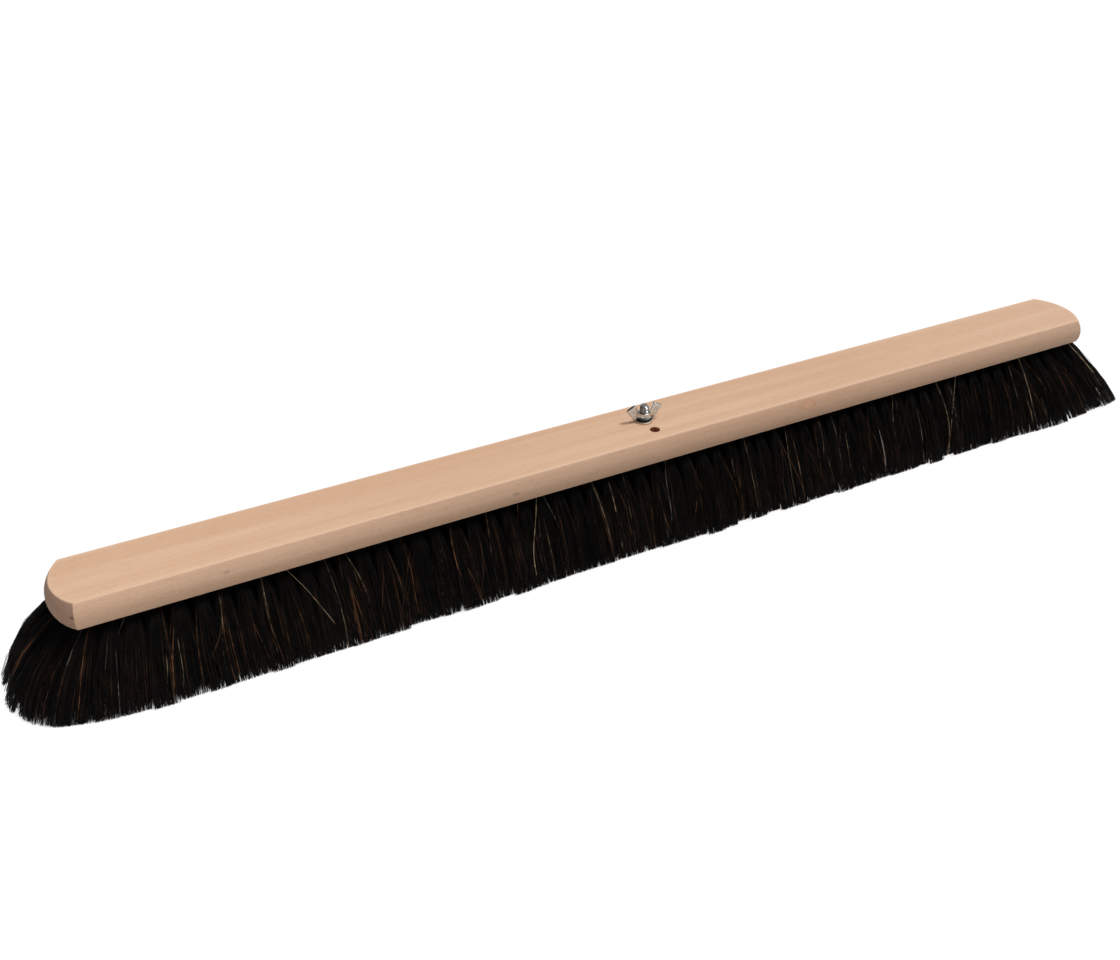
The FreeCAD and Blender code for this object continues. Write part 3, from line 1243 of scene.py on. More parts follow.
@dataclass
class HairRows:
    """Six rows of hair, each fibre a thin three-sided tube.

    Attributes:
        layout: Where the tufts stand.
        finish: The fibres' finish.
        scatter: How unevenly they lie.
        straying: How the odd hairs bend.
        outer: Density of the front and back rows.
        ends: Density of the other rows near the ends, where all of them show.
        inner: Density of the other rows between the ends.
        strays: Density of the odd hairs in front of the front and back rows.
        end_tufts: Tufts at each end of a row that count as near the end.
        free_of_strays: Tufts at each end of a row that no odd hair comes from.
        hole_fill: Share of its hole's radius that a tuft's root fills.
        end_start: Distance from the middle at which the ends of the head start.
        end_ramp: Stretch over which a tuft there becomes an end tuft.
        bow: How far a fibre bows outwards, as a share of its spread.
        end_bow: How much more it does at the left end and at the right end.
        end_gather: How much less wide a tuft's tips are at these ends, as a share.
        flare: How early a tuft widens from its hole, as a share of its width.
        worn_front: How much the left end's front corner is held back, worn most: along X,
            along Y, and how late towards the corner.
        worn_back: The same at that end's back corner.
        new_front: The same at the right end's front corner.
        new_back_power: How late the right end's back corner is held back.
        right_lean: How much further the tips reach at the right end.
        lean_ramp: Stretch over which they do.
        half_spread: How much wider the front spreads on the right half, as a share.
        half_ramp: Start and length of the stretch over which it does.
        end_spread: How much wider still it spreads at the right end.
        end_spread_ramp: Stretch over which it does.
        crowding: How much closer fibres stand on the outside of the brush, from 0 up, at
            the ends and along the front and back.
        tip_taper: Thickness at the tip as a share of that at the root.
        sunk: Share of a fibre's length that stays in its hole.
        seed: Start of the random draws.
        sides: Sides of a fibre's section.
        map_inset: Empty border of a fibre's cell in the map, as a share of the cell.
    """

    layout: TuftLayout
    finish: HairFinish = field(default_factory=HairFinish)
    scatter: Scatter = field(default_factory=Scatter)
    straying: Straying = field(default_factory=Straying)
    outer: Density = Density(282, 4, 0.000200)
    ends: Density = Density(230, 4, 0.000210)
    inner: Density = Density(108, 3, 0.000280)
    strays: Density = Density(3, 10, 0.000125, stray=True)
    end_tufts: int = 6
    free_of_strays: int = 2
    hole_fill: float = 0.93
    end_start: float = 0.36
    end_ramp: float = 0.11
    bow: float = 0.05
    end_bow: Pair = (0.07, -0.03)
    end_gather: Pair = (0.12, 0.02)
    flare: float = 0.45
    worn_front: Point = (0.80, 0.62, 2.0)
    worn_back: Point = (0.42, 0.42, 4.0)
    new_front: Point = (0.38, 0.42, 4.0)
    new_back_power: float = 4.0
    right_lean: float = 0.004
    lean_ramp: float = 0.13
    half_spread: float = 0.055
    half_ramp: Pair = (-0.10, 0.45)
    end_spread: float = 0.038
    end_spread_ramp: float = 0.06
    crowding: Pair = (0.8, 1.7)
    tip_taper: float = 0.95
    sunk: float = 0.045
    seed: int = 41
    sides: int = 3
    map_inset: float = 0.12

    def build(self) -> None:
        """Makes every row's pieces, which stand for the rows of plain tufts."""
        material = self.finish.material()
        for row in range(self.layout.row_count):
            for part, (name, places, density) in enumerate(self._stretches(row)):
                draw = np.random.default_rng((self.seed, row, part))
                fibres = self._fibres(row, places, density, draw)
                mesh = self._tubes(fibres, density.segments, f"hair_row_{row + 1}_{name}")
                add_piece(mesh, material, Body.HEAD, [f"tuft_row_{row + 1}"])

    def _stretches(self, row: int) -> list[tuple[str, Array, Density]]:
        """The parts that a row is made in.

        Args:
            row: The row, counted from the front.

        Returns:
            Name, tufts and density of each part.
        """
        places = self.layout.row_places(row)
        names = ("left", "middle", "right")
        if self.layout.is_outer(row):
            parts = zip(names, np.array_split(places, 3), (self.outer,) * 3)
            return [*parts, ("strays", places[self.free_of_strays:-self.free_of_strays],
                             self.strays)]
        n = self.end_tufts
        return list(zip(names, (places[:n], places[n:-n], places[-n:]),
                        (self.ends, self.inner, self.ends)))

    def _fibres(self, row: int, places: Array, density: Density,
                draw: np.random.Generator) -> FibreField:
        """Draws the fibres of a stretch of tufts.

        A fibre's place in its tuft is a point of a square from -1 to 1. The square is
        squeezed into the round hole at the root and stretched over the tuft's cell at
        the tips, so neighbours stay neighbours and nothing crosses but the strays.

        Args:
            row: The row, counted from the front.
            places: X of the tufts.
            density: How many fibres, and how thick.
            draw: The random draws.

        Returns:
            The fibres.
        """
        layout, loose, tufts = self.layout, self.scatter, len(places)
        count = tufts * density.fibres
        tuft = np.repeat(np.arange(tufts), density.fibres)
        x, y = places[tuft], layout.row_y(row)
        from_end = ramp(np.abs(x), self.end_start, self.end_ramp)
        p, q = self._in_tuft(row, x, from_end, density, draw)
        in_hole = np.stack([p * np.sqrt(1 - q * q / 2), q * np.sqrt(1 - p * p / 2)], axis=1)
        root = np.stack([x, np.full(count, y)], axis=1) \
            + in_hole * layout.hole_radius * self.hole_fill
        length, width = layout.cell
        gather = draw.uniform(*loose.gather, tufts)[tuft] \
            * (1 - np.where(x < 0, *self.end_gather) * from_end)
        tuft_tip = draw.normal(0, loose.tuft_tip, (tufts, 2))[tuft]
        own = np.stack([p * length / 2 * gather, q * width / 2], axis=1)
        tip = self._tips(row, x + own[:, 0] + tuft_tip[:, 0], y + own[:, 1] + tuft_tip[:, 1])
        tip += draw.normal(0, loose.tip, (count, 2))
        swerve = draw.normal(0, loose.tuft_swerve, (tufts, 2))[tuft] \
            + draw.normal(0, loose.swerve, (count, 2))
        swerve += self.flare * own
        wave = draw.normal(0, loose.wave, (count, 2))
        tip_z = loose.floor_gap + draw.uniform(0, loose.tuft_trim, tufts)[tuft] \
            + np.abs(draw.normal(0, loose.trim, count))
        if density.stray:
            self._bend_out(draw, row, tip, tip_z, swerve, wave)
        shares = np.array([kind.stray_share if density.stray else kind.share for kind in Hair])
        kind = draw.choice(len(shares), count, p=shares / shares.sum())
        colour = np.array([kind.colour for kind in Hair])[kind]
        thickness = np.array([kind.width for kind in Hair])[kind]
        bow = self.bow + from_end * np.where(x < 0, *self.end_bow)
        return FibreField(root, tip, tip_z, swerve, wave, bow,
                          density.radius * thickness * draw.uniform(*loose.width, count),
                          draw.uniform(0, FULL_TURN, count),
                          colour * draw.lognormal(0, loose.tone, (count, 1)))

    def _in_tuft(self, row: int, x: Array, from_end: Array, density: Density,
                 draw: np.random.Generator) -> tuple[Array, Array]:
        """Places in the tuft, closer together towards the outside of the brush.

        An even draw u from 0 to 1 becomes the place 1 - 2 u^(1 + crowding), counted from
        the middle of the tuft outwards.

        Args:
            row: The row, counted from the front.
            x: X of each fibre's tuft.
            from_end: 1 for tufts at the end of the row, 0 for those away from it.
            density: How many fibres; strays all stand on the outside.
            draw: The random draws.

        Returns:
            The places along and across, from -1 to 1.
        """
        outwards = np.sign(self.layout.row_y(row))
        u, v = draw.random((2, len(x)))
        at_ends, at_sides = self.crowding
        along = np.where(x < 0, -1, 1) * (1 - 2 * u ** (1 + at_ends * from_end))
        across = outwards * (1 - 2 * v ** (1 + at_sides * self.layout.is_outer(row)))
        if density.stray:
            across = outwards * draw.uniform(*self.straying.depth, len(x))
        return along, across

    def _tips(self, row: int, x: Array, y: Array) -> Array:
        """Where fibres end on the floor: the fanned field, a little out of true from use.

        Args:
            row: The row, counted from the front.
            x: Places along the row before the hair spreads.
            y: Places across it.

        Returns:
            XY of the tips.
        """
        new_back = (self.layout.fan_corner, self.layout.fan_corner, self.new_back_power)
        corners = np.array([[new_back, self.worn_back], [self.new_front, self.worn_front]])
        held = corners[(y < 0).astype(int), (x < 0).astype(int)]
        tip_x, tip_y = self.layout.fanned(row, x, y, *held.T)
        tip_x += self.right_lean * ramp(x, self.end_start, self.lean_ramp)
        spread = self.half_spread * ramp(x, *self.half_ramp) \
            + self.end_spread * ramp(x, self.end_start, self.end_spread_ramp)
        tip_y *= 1 + np.where(y < 0, spread, 0)
        return np.stack([tip_x, tip_y], axis=1)

    def _bend_out(self, draw: np.random.Generator, row: int, tip: Array, tip_z: Array,
                  swerve: Array, wave: Array) -> None:
        """Bends stray fibres out of their tuft and across their neighbours.

        Args:
            draw: The random draws.
            row: The row, counted from the front.
            tip: XY of the tips, changed in place.
            tip_z: Heights of the tips, changed in place.
            swerve: One-sided bends, changed in place.
            wave: S-shaped bends, changed in place.
        """
        count, bent = len(tip), self.straying
        outwards = np.sign(self.layout.row_y(row))
        (lean, most_lean), (lift, most_lift) = bent.lean, bent.lift
        tip[:, 0] += (draw.standard_t(3, count) * lean).clip(-most_lean, most_lean)
        tip[:, 1] -= outwards * bent.tuck
        tip[:, 1] += outwards * np.abs(draw.normal(0, bent.tuck_loose, count))
        tip_z += np.abs(draw.standard_t(2, count) * lift).clip(0, most_lift)
        swerve += draw.normal(0, bent.swerve, (count, 2))
        swerve[:, 1] += outwards * bent.belly
        wave += draw.normal(0, bent.wave, (count, 2))

    def _tubes(self, fibres: FibreField, segments: int, name: str) -> bpy.types.Mesh:
        """Carries a small triangle down each fibre's path.

        At the share t of the way down, the path lies at root + (tip - root) s, with
        s = t + 4 bow t (1 - t), plus the swerve times sin(pi t) and the wave times
        sin(2 pi t). The first ring is at a t below 0, inside the hole.

        Args:
            fibres: The fibres.
            segments: Steps down each one.
            name: Name of the mesh.

        Returns:
            The mesh, with the fibres' colour and run as attributes.
        """
        t = np.linspace(-self.sunk, 1, segments + 1)
        run = np.clip(t, 0, 1)
        s = t + 4 * fibres.bow[:, None] * t * (1 - t)
        across = (fibres.root[:, None] + (fibres.tip - fibres.root)[:, None] * s[..., None]
                  + fibres.swerve[:, None] * np.sin(math.pi * run)[None, :, None]
                  + fibres.wave[:, None] * np.sin(FULL_TURN * run)[None, :, None])
        height = self.layout.board.underside * (1 - t)[None] + fibres.tip_z[:, None] * t[None]
        path = np.concatenate([across, height[..., None]], axis=-1)
        tangent = np.gradient(path, axis=1)
        tangent /= np.linalg.norm(tangent, axis=-1, keepdims=True)
        first = np.cross(tangent, (0.0, 1.0, 0.0))
        first /= np.linalg.norm(first, axis=-1, keepdims=True)
        second = np.cross(tangent, first)
        thick = fibres.radius[:, None] * (1 - (1 - self.tip_taper) * run)[None]
        angle = fibres.roll[:, None] + np.arange(self.sides) * FULL_TURN / self.sides
        out = (np.cos(angle)[:, None, :, None] * first[:, :, None]
               + np.sin(angle)[:, None, :, None] * second[:, :, None])
        points = path[:, :, None] + thick[:, :, None, None] * out
        return self._tube_mesh(points, run, fibres.colour, name)

    def _tube_mesh(self, points: Array, run: Array, colour: Array,
                   name: str) -> bpy.types.Mesh:
        """Closes the rings of every fibre and writes the mesh and its attributes.

        Args:
            points: Points as (fibre, ring, side, xyz).
            run: Run of each ring from 0 at the root to 1 at the tip.
            colour: Colour of each fibre.
            name: Name of the mesh.

        Returns:
            The mesh.
        """
        count, rings, sides = points.shape[:3]
        per_fibre = rings * sides
        start = (np.arange(count) * per_fibre)[:, None, None]
        quads = (start + tube_quads(rings, sides)[None]).reshape(-1, 4)
        corner = np.arange(sides)
        caps = np.stack([corner[::-1], (rings - 1) * sides + corner])
        caps = (start + caps[None]).reshape(-1, sides)
        mesh = Surface(points.reshape(-1, 3), [quads, caps]).mesh(name)
        tone = np.concatenate([colour, np.ones((count, 1))], axis=1)
        for attribute, kind, values in (
                (self.finish.colour_attribute, "FLOAT_COLOR", np.repeat(tone, per_fibre, axis=0)),
                (self.finish.along_attribute, "FLOAT", np.tile(np.repeat(run, sides), count))):
            data = mesh.attributes.new(attribute, kind, "POINT").data
            data.foreach_set("color" if kind == "FLOAT_COLOR" else "value",
                             values.astype(np.float32).ravel())
        self._bake_map(mesh, count, rings - 1)
        return mesh

    def _bake_map(self, mesh: bpy.types.Mesh, count: int, segments: int) -> None:
        """Gives each fibre its own small cell of a square map, root at the bottom.

        Args:
            mesh: The fibres' mesh, its quads first and then its caps.
            count: Number of fibres.
            segments: Steps down each one.
        """
        sides, inset = self.sides, self.map_inset
        side, step = (grid.ravel() for grid in np.meshgrid(np.arange(sides), np.arange(segments)))
        u = np.stack([side, side + 1, side + 1, side], axis=1) / sides
        v = np.stack([step, step, step + 1, step + 1], axis=1) / segments
        quads = np.stack([u, v], axis=-1)
        caps = np.array([[[0.0, 0.0], [0.5, 0.06], [1.0, 0.0]],
                         [[0.0, 1.0], [0.5, 0.94], [1.0, 1.0]]])
        fibre, across = np.arange(count), math.ceil(math.sqrt(count))
        corner = np.stack([fibre % across, fibre // across], axis=1)[:, None, None]
        parts = [((corner + inset + (1 - 2 * inset) * shape[None]) / across).reshape(-1, 2)
                 for shape in (quads, caps)]
        layer = mesh.uv_layers.new(name="OFBake")
        layer.uv.foreach_set("vector", np.concatenate(parts).astype(np.float32).ravel())


@dataclass
class BroomBlock:
    """The beech block and the wood round the roots of the hair.

    Attributes:
        layout: Where the tufts stand.
        cells_per_tuft: Grid cells in one tuft pitch.
        cells_per_row: Grid cells in one row pitch.
    """

    layout: TuftLayout
    cells_per_tuft: int = 14
    cells_per_row: int = 8

    def build(self) -> None:
        """Dresses the block and fills the seat of the hair strips."""
        material = Beech(self.layout.board).material()
        dress("broom_block", material)
        rows = [f"tuft_row_{row + 1}" for row in range(self.layout.row_count)]
        add_piece(self._underside().mesh("underside_wood", smooth=False), material, Body.HEAD,
                  rows)

    def _underside(self) -> Surface:
        """A flat plate with a round mouth for every tuft and for the bolt's head.

        The plate is a grid of small cells. Points near a mouth's rim are drawn onto it,
        the cells inside are left out, and the rest is given its thickness.

        Returns:
            The closed plate.
        """
        layout = self.layout
        step_x = layout.tuft_pitch / self.cells_per_tuft
        step_y = layout.row_pitch / self.cells_per_row
        reaches = self._strip_reaches()
        half = math.ceil(reaches.max() / step_x)
        rows = layout.row_count * self.cells_per_row
        x, y = np.meshgrid(np.arange(-half, half + 1) * step_x,
                           (np.arange(rows + 1) - rows / 2) * step_y, indexing="ij")
        limit = self._strip_limit(reaches, y)
        x = np.clip(x, -limit, limit)
        away, centre, radius = self._nearest_mouth(x, y)
        gap = away - radius
        near = np.abs(gap) < 0.5 * max(step_x, step_y)
        scale = np.where(near, radius / np.maximum(away, 1e-9), 1.0)
        x = centre[..., 0] + (x - centre[..., 0]) * scale
        y = centre[..., 1] + (y - centre[..., 1]) * scale
        outside = np.where(near, 0.0, gap) > -1e-9
        middle_x = (x[:-1, :-1] + x[1:, :-1] + x[:-1, 1:] + x[1:, 1:]) / 4
        kept = outside[:-1, :-1] & outside[1:, :-1] & outside[:-1, 1:] & outside[1:, 1:]
        span = np.abs(x[1:, :-1] - x[:-1, :-1]) + np.abs(x[1:, 1:] - x[:-1, 1:])
        kept &= (span > 1e-7) & (np.abs(middle_x) < reaches.max())
        return self._slab(x, y, kept)

    def _strip_reaches(self) -> Array:
        """How far each row's strip reaches along X."""
        return np.array([self.layout.strip_reach(row) for row in range(self.layout.row_count)])

    def _strip_limit(self, reaches: Array, y: Array) -> Array:
        """Largest X of the strips at each Y; between two rows, the shorter one decides.

        Args:
            reaches: How far each row's strip reaches.
            y: The places across the block.

        Returns:
            The largest X.
        """
        last, shared = self.layout.row_count - 1, y / self.layout.row_pitch
        row = np.clip(np.floor(shared + self.layout.row_count / 2).astype(int), 0, last)
        beside = np.clip(row - (np.abs(shared - np.round(shared)) < 1e-6), 0, last)
        return np.minimum(reaches[row], reaches[beside])

    def _nearest_mouth(self, x: Array, y: Array) -> tuple[Array, Array, Array]:
        """For each point, its distance from the nearest mouth's centre, and that mouth.

        Args:
            x: X of the points.
            y: Y of the points.

        Returns:
            The distances, the centres' XY and the radii.
        """
        layout = self.layout
        centres = [(place, layout.row_y(row)) for row in range(layout.row_count)
                   for place in layout.row_places(row)]
        centres = np.array([*centres, layout.board.bolt])
        radii = np.full(len(centres), layout.hole_radius)
        radii[-1] = layout.recess_radius
        away = np.hypot(x[..., None] - centres[:, 0], y[..., None] - centres[:, 1])
        nearest = (away - radii).argmin(axis=-1)
        return (np.take_along_axis(away, nearest[..., None], -1)[..., 0], centres[nearest],
                radii[nearest])

    def _slab(self, x: Array, y: Array, kept: Array) -> Surface:
        """Gives the kept cells of a grid a thickness and walls along their border.

        Args:
            x: X of the grid's points.
            y: Y of the grid's points.
            kept: True for each cell that is kept.

        Returns:
            The closed slab, from the underside up to the strips' depth.
        """
        low_z, columns = self.layout.board.underside, x.shape[1]
        flat = np.stack([x.ravel(), y.ravel()], axis=1)
        points = np.concatenate([np.column_stack([flat, np.full(len(flat), z)])
                                 for z in (low_z, low_z + self.layout.slice_depth)])
        i, j = np.nonzero(kept)
        cell = [i * columns + j, (i + 1) * columns + j, (i + 1) * columns + j + 1,
                i * columns + j + 1]
        above = len(flat)
        padded = np.pad(kept, 1)
        faces = [np.stack(cell[::-1], axis=1), np.stack(cell, axis=1) + above]
        # Step to the cell beside each wall, and the two corners that the wall joins.
        for di, dj, a, b in ((0, -1, 0, 1), (1, 0, 1, 2), (0, 1, 2, 3), (-1, 0, 3, 0)):
            open_side = ~padded[i + 1 + di, j + 1 + dj]
            start, end = cell[a][open_side], cell[b][open_side]
            faces.append(np.stack([start, end, end + above, start + above], axis=1))
        used, renumbered = np.unique(np.concatenate(faces), return_inverse=True)
        return Surface(points[used], [renumbered.reshape(-1, 4)])


# ---- bolt, washer and wing nut -----------------------------------------------------


@dataclass
class CarriageBolt:
    """Carriage bolt with a domed head, a square neck and a rolled thread.

    Attributes:
        board: The block's sizes.
        finish: Its plating.
        head_depth: How deep the underside of its head lies in the block.
        head_radius: Radius of the domed head.
        head_height: Height of the dome.
        neck: Half width of the square neck.
        neck_length: Its length.
        shank_radius: Radius of the plain shank.
        thread_radius: Radius over the thread.
        pitch: Rise of the thread in one turn.
        thread_depth: Depth of the thread, as a share of its pitch.
        thread_start: Height at which the thread starts.
        end: Height of the bolt's end.
        chamfer: Chamfer at that end.
        steps_per_turn: Rings of points in one turn of the thread.
    """

    board: Board
    finish: ZincPlate = ZincPlate("bolt_zinc", (0.54, 0.54, 0.52), (0.36, 0.355, 0.33))
    head_depth: float = 0.002
    head_radius: float = 0.0103
    head_height: float = 0.0049
    neck: float = 0.004
    neck_length: float = 0.0045
    shank_radius: float = 0.0036
    thread_radius: float = 0.004
    pitch: float = 0.00125
    thread_depth: float = 0.613
    thread_start: float = 0.084
    end: float = 0.105
    chamfer: float = 0.001
    steps_per_turn: int = 12

    @property
    def seat(self) -> float:
        """Height of the underside of the head."""
        return self.board.underside + self.head_depth

    def build(self) -> None:
        """Makes the bolt, which is held in the block."""
        add_piece(self._surface().mesh("threaded_bolt"), self.finish.material(), Body.HEAD,
                  ["carriage_bolt"])

    def _surface(self) -> Surface:
        """Domed head, square neck, shank and thread as one turned surface.

        The dome is an arc whose radius follows from its width and height. Rings above
        it carry the neck, the shank and, closely spaced, the thread.

        Returns:
            The bolt.
        """
        dome = (self.head_radius ** 2 + self.head_height ** 2) / (2 * self.head_height)
        half = math.degrees(math.asin(self.head_radius / dome))
        crown = self.seat - self.head_height
        head = arc_points((0, crown + dome), dome, -90, -90 + half, 14)[1:]
        neck_top = self.seat + self.neck_length
        body = np.array([
            [self.head_radius, self.seat], [self.neck * 1.5, self.seat],
            [self.neck * 1.0002, self.seat], [self.neck, self.seat + 0.0001],
            [self.neck, neck_top], [self.shank_radius, neck_top + 0.0002],
            [self.shank_radius, self.thread_start - 0.0004]])
        turns = (self.end - self.thread_start) / self.pitch
        height = np.linspace(self.thread_start, self.end, int(turns * self.steps_per_turn) + 1)
        thread = np.stack([np.full(len(height), self.thread_radius), height], axis=1)
        end = np.array([[(self.thread_radius - self.chamfer) * share, self.end]
                        for share in (0.9, 0.5)])
        profile = np.concatenate([head, body, thread, end])
        return lathe(profile, 64, self.board.bolt, self._radius)

    def _radius(self, angle: Array, r: Array, z: Array) -> Array:
        """Distance from the axis, with the neck squared and the thread cut.

        On the neck it is the half width over the larger of |cos a| and |sin a|. On the
        thread it falls from the crest by a triangle wave of z / pitch - a / full turn,
        cut flat at the crest and the root, and never passes the chamfer at the end.

        Args:
            angle: Angles round the bolt.
            r: Distances of the profile.
            z: Its heights.

        Returns:
            The distances of every ring's points.
        """
        square = r / np.maximum(np.abs(np.cos(angle)), np.abs(np.sin(angle)))
        in_neck = (z > self.seat) & (z <= self.seat + self.neck_length)
        turns = z / self.pitch - angle / FULL_TURN
        wave = np.abs(2 * (turns - np.floor(turns)) - 1)
        depth = self.thread_depth * self.pitch * np.clip(1.35 * wave - 0.15, 0, 1)
        grown = np.clip((z - self.thread_start) / self.pitch, 0, 1)
        crest = self.shank_radius + (r - self.shank_radius) * grown
        bevel = self.thread_radius - np.maximum(0, z - (self.end - self.chamfer))
        cut = np.minimum(crest - depth * grown, bevel)
        threaded = (z >= self.thread_start) & (r >= self.thread_radius - 1e-9)
        return np.where(threaded, cut, np.where(in_neck & (r >= self.neck), square, r))


@dataclass
class FlatWasher:
    """Stamped flat washer.

    Attributes:
        board: The block's sizes.
        finish: Its plating.
        radius: Outer radius.
        bore: Radius of its bore.
        thickness: Thickness.
        rolled: Radius of the outer edge above, which the stamping rolled over.
        sharp: Radius of the other edges.
    """

    board: Board
    finish: ZincPlate = ZincPlate("washer_zinc", (0.66, 0.58, 0.49), (0.50, 0.42, 0.34), 0.42)
    radius: float = 0.0080
    bore: float = 0.0042
    thickness: float = 0.0016
    rolled: float = 0.0005
    sharp: float = 0.0002

    def build(self) -> None:
        """Makes the washer, which lies on the block."""
        add_piece(self._surface().mesh("round_edged_washer"), self.finish.material(),
                  Body.WASHER, ["flat_washer"])

    def _surface(self) -> Surface:
        """A flat ring whose stamped edge is rounded above and sharper below.

        Returns:
            The washer as a closed loop turned once round.
        """
        low, high = self.board.top, self.board.top + self.thickness
        rolled, sharp = self.rolled, self.sharp
        loop = np.concatenate([
            arc_points((self.radius - sharp, low + sharp), sharp, -90, 0, 4),
            arc_points((self.radius - rolled, high - rolled), rolled, 0, 90, 6),
            arc_points((self.bore + sharp, high - sharp), sharp, 90, 180, 4),
            arc_points((self.bore + sharp, low + sharp), sharp, 180, 270, 4)])
        return lathe(loop, 72, self.board.bolt, poles=False)


@dataclass
class WingNut:
    """Cast wing nut, tightened onto the washer.

    Attributes:
        board: The block's sizes.
        seat: Height of its foot.
        turned: Degrees that it happens to be turned by.
        foot: Radius of its band.
        undercut: Radius of its drawn-in foot.
        top: Radius at the top of its hub.
        bore: Radius of its bore.
        height: Height of its hub.
        band: Height of the band.
        edge: Radius of the hub's outer edges.
        bore_edge: Radius of its inner edges.
        wing_corners: Corners of a wing, as distance from the axis and height.
        wing_corner: Radius that these are rounded by.
        wing_middle: Middle of a wing.
        wing_thickness: Thickness of a wing.
        wing_edge: Radius of its edge.
        hollow: Depth and radius of the hollow in the middle of its faces.
        painted_foot_shade: Height of the painted shade at the foot.
        voxel: Cell size of the remesh that fuses hub and wings.
    """

    board: Board
    seat: float
    turned: float = -8.0
    foot: float = 0.0074
    undercut: float = 0.0064
    top: float = 0.0055
    bore: float = 0.0041
    height: float = 0.0068
    band: float = 0.0020
    edge: float = 0.0004
    bore_edge: float = 0.0003
    wing_corners: tuple[Pair, ...] = ((0.0096, 0.0006), (0.0169, 0.0104), (0.0087, 0.0152),
                                      (0.0047, 0.0058), (0.0046, 0.0006))
    wing_corner: float = 0.0012
    wing_middle: Pair = (0.0104, 0.0080)
    wing_thickness: float = 0.0030
    wing_edge: float = 0.0013
    hollow: Pair = (0.00045, 0.0026)
    painted_foot_shade: float = 0.0030
    voxel: float = 0.00022

    def build(self) -> None:
        """Makes the nut on its own body."""
        finish = CastZinc("nut_zinc", axis=self.board.bolt, turned=self.turned,
                          foot_shade_top=self.seat + self.painted_foot_shade)
        add_piece(self._fused(), finish.material(), Body.NUT, ["wing_nut"])

    def _fused(self) -> bpy.types.Mesh:
        """Hub and wings, fused by a fine remesh that rounds their roots.

        Returns:
            The finished mesh.
        """
        nut = self._hub().joined(self._wing(1.0)).joined(self._wing(-1.0))
        nut = nut.turned(math.radians(self.turned)).moved((*self.board.bolt, self.seat))
        rough = into_scene("nut_blank", nut.mesh("nut_blank"))
        remesh = rough.modifiers.new("fuse", "REMESH")
        remesh.mode, remesh.voxel_size = "VOXEL", self.voxel
        smooth = rough.modifiers.new("ease", "SMOOTH")
        smooth.factor, smooth.iterations = 0.5, 3
        graph = bpy.context.evaluated_depsgraph_get()
        mesh = bpy.data.meshes.new_from_object(rough.evaluated_get(graph))
        mesh.name = "cast_wing_nut"
        mesh.polygons.foreach_set("use_smooth", np.full(len(mesh.polygons), True))
        bpy.data.objects.remove(rough)
        return mesh

    def _hub(self) -> Surface:
        """A drawn-in foot, a band, a bell that narrows to the top, and a bore.

        Between the band and the top the distance falls from the foot's to the top's as
        the cube of the share of the height still to go, which gives the bell its hollow.

        Returns:
            The hub as a closed loop turned once round.
        """
        edge, inner, height = self.edge, self.bore_edge, self.height
        left = np.linspace(1, 0, 9)
        bell = np.stack([self.top + (self.foot - edge - self.top) * left ** 3,
                         height - edge - (height - edge - self.band) * left], axis=1)
        loop = np.concatenate([
            [[self.undercut, 0.0]],
            arc_points((self.foot - edge, self.band - edge), edge, -35, 80, 5),
            bell,
            arc_points((self.top - edge, height - edge), edge, 20, 90, 4),
            arc_points((self.bore + inner, height - inner), inner, 90, 180, 3),
            arc_points((self.bore + inner, inner), inner, 180, 270, 3)])
        return lathe(loop, 96, poles=False)

    def _wing(self, side: float) -> Surface:
        """One wing as a pillow: an outline shrunk towards its middle on both faces.

        The outline is a polygon with rounded corners. Each face is a stack of copies of
        it, shrunk in even steps towards the middle and flat but for a shallow hollow,
        h (1 - (d / r)^2)^2 deep at the distance d from the middle. Round the edge, the
        copies follow a quarter circle from each face to the middle of the thickness.

        Args:
            side: 1 for the wing towards +X, -1 for the other.

        Returns:
            The closed wing.
        """
        middle, edge, half = np.array(self.wing_middle), self.wing_edge, self.wing_thickness / 2
        outline = rounded_outline(np.array(self.wing_corners), self.wing_corner, 7)
        outline = evenly_spaced(outline, 120)
        reach = np.linalg.norm(outline - middle, axis=1)
        share = np.linspace(0.02, 1, 30)[:, None]
        face = middle + (outline - middle) * (share * (reach - edge) / reach)[..., None]
        away = np.linalg.norm(face - middle, axis=-1)
        deep, wide = self.hollow
        face_depth = half - deep * np.clip(1 - (away / wide) ** 2, 0, 1) ** 2
        turn = np.radians(np.linspace(0, 90, 5))
        inward = (middle - outline) / reach[:, None]
        over = outline + inward * (edge * (1 - np.sin(turn)))[:, None, None]
        over_depth = (half - edge + edge * np.cos(turn))[:, None] * np.ones(len(outline))
        flat = np.concatenate([face, over[1:]])
        depth = np.concatenate([face_depth, over_depth[1:]])
        front = np.concatenate([flat, depth[..., None]], axis=-1)
        whole = np.concatenate([front, front[-2::-1] * np.array([1, 1, -1])])
        upright = np.stack([side * whole[..., 0], side * whole[..., 2], whole[..., 1]], axis=-1)
        return closed_rings(upright, True)


# ---- studio ------------------------------------------------------------------------


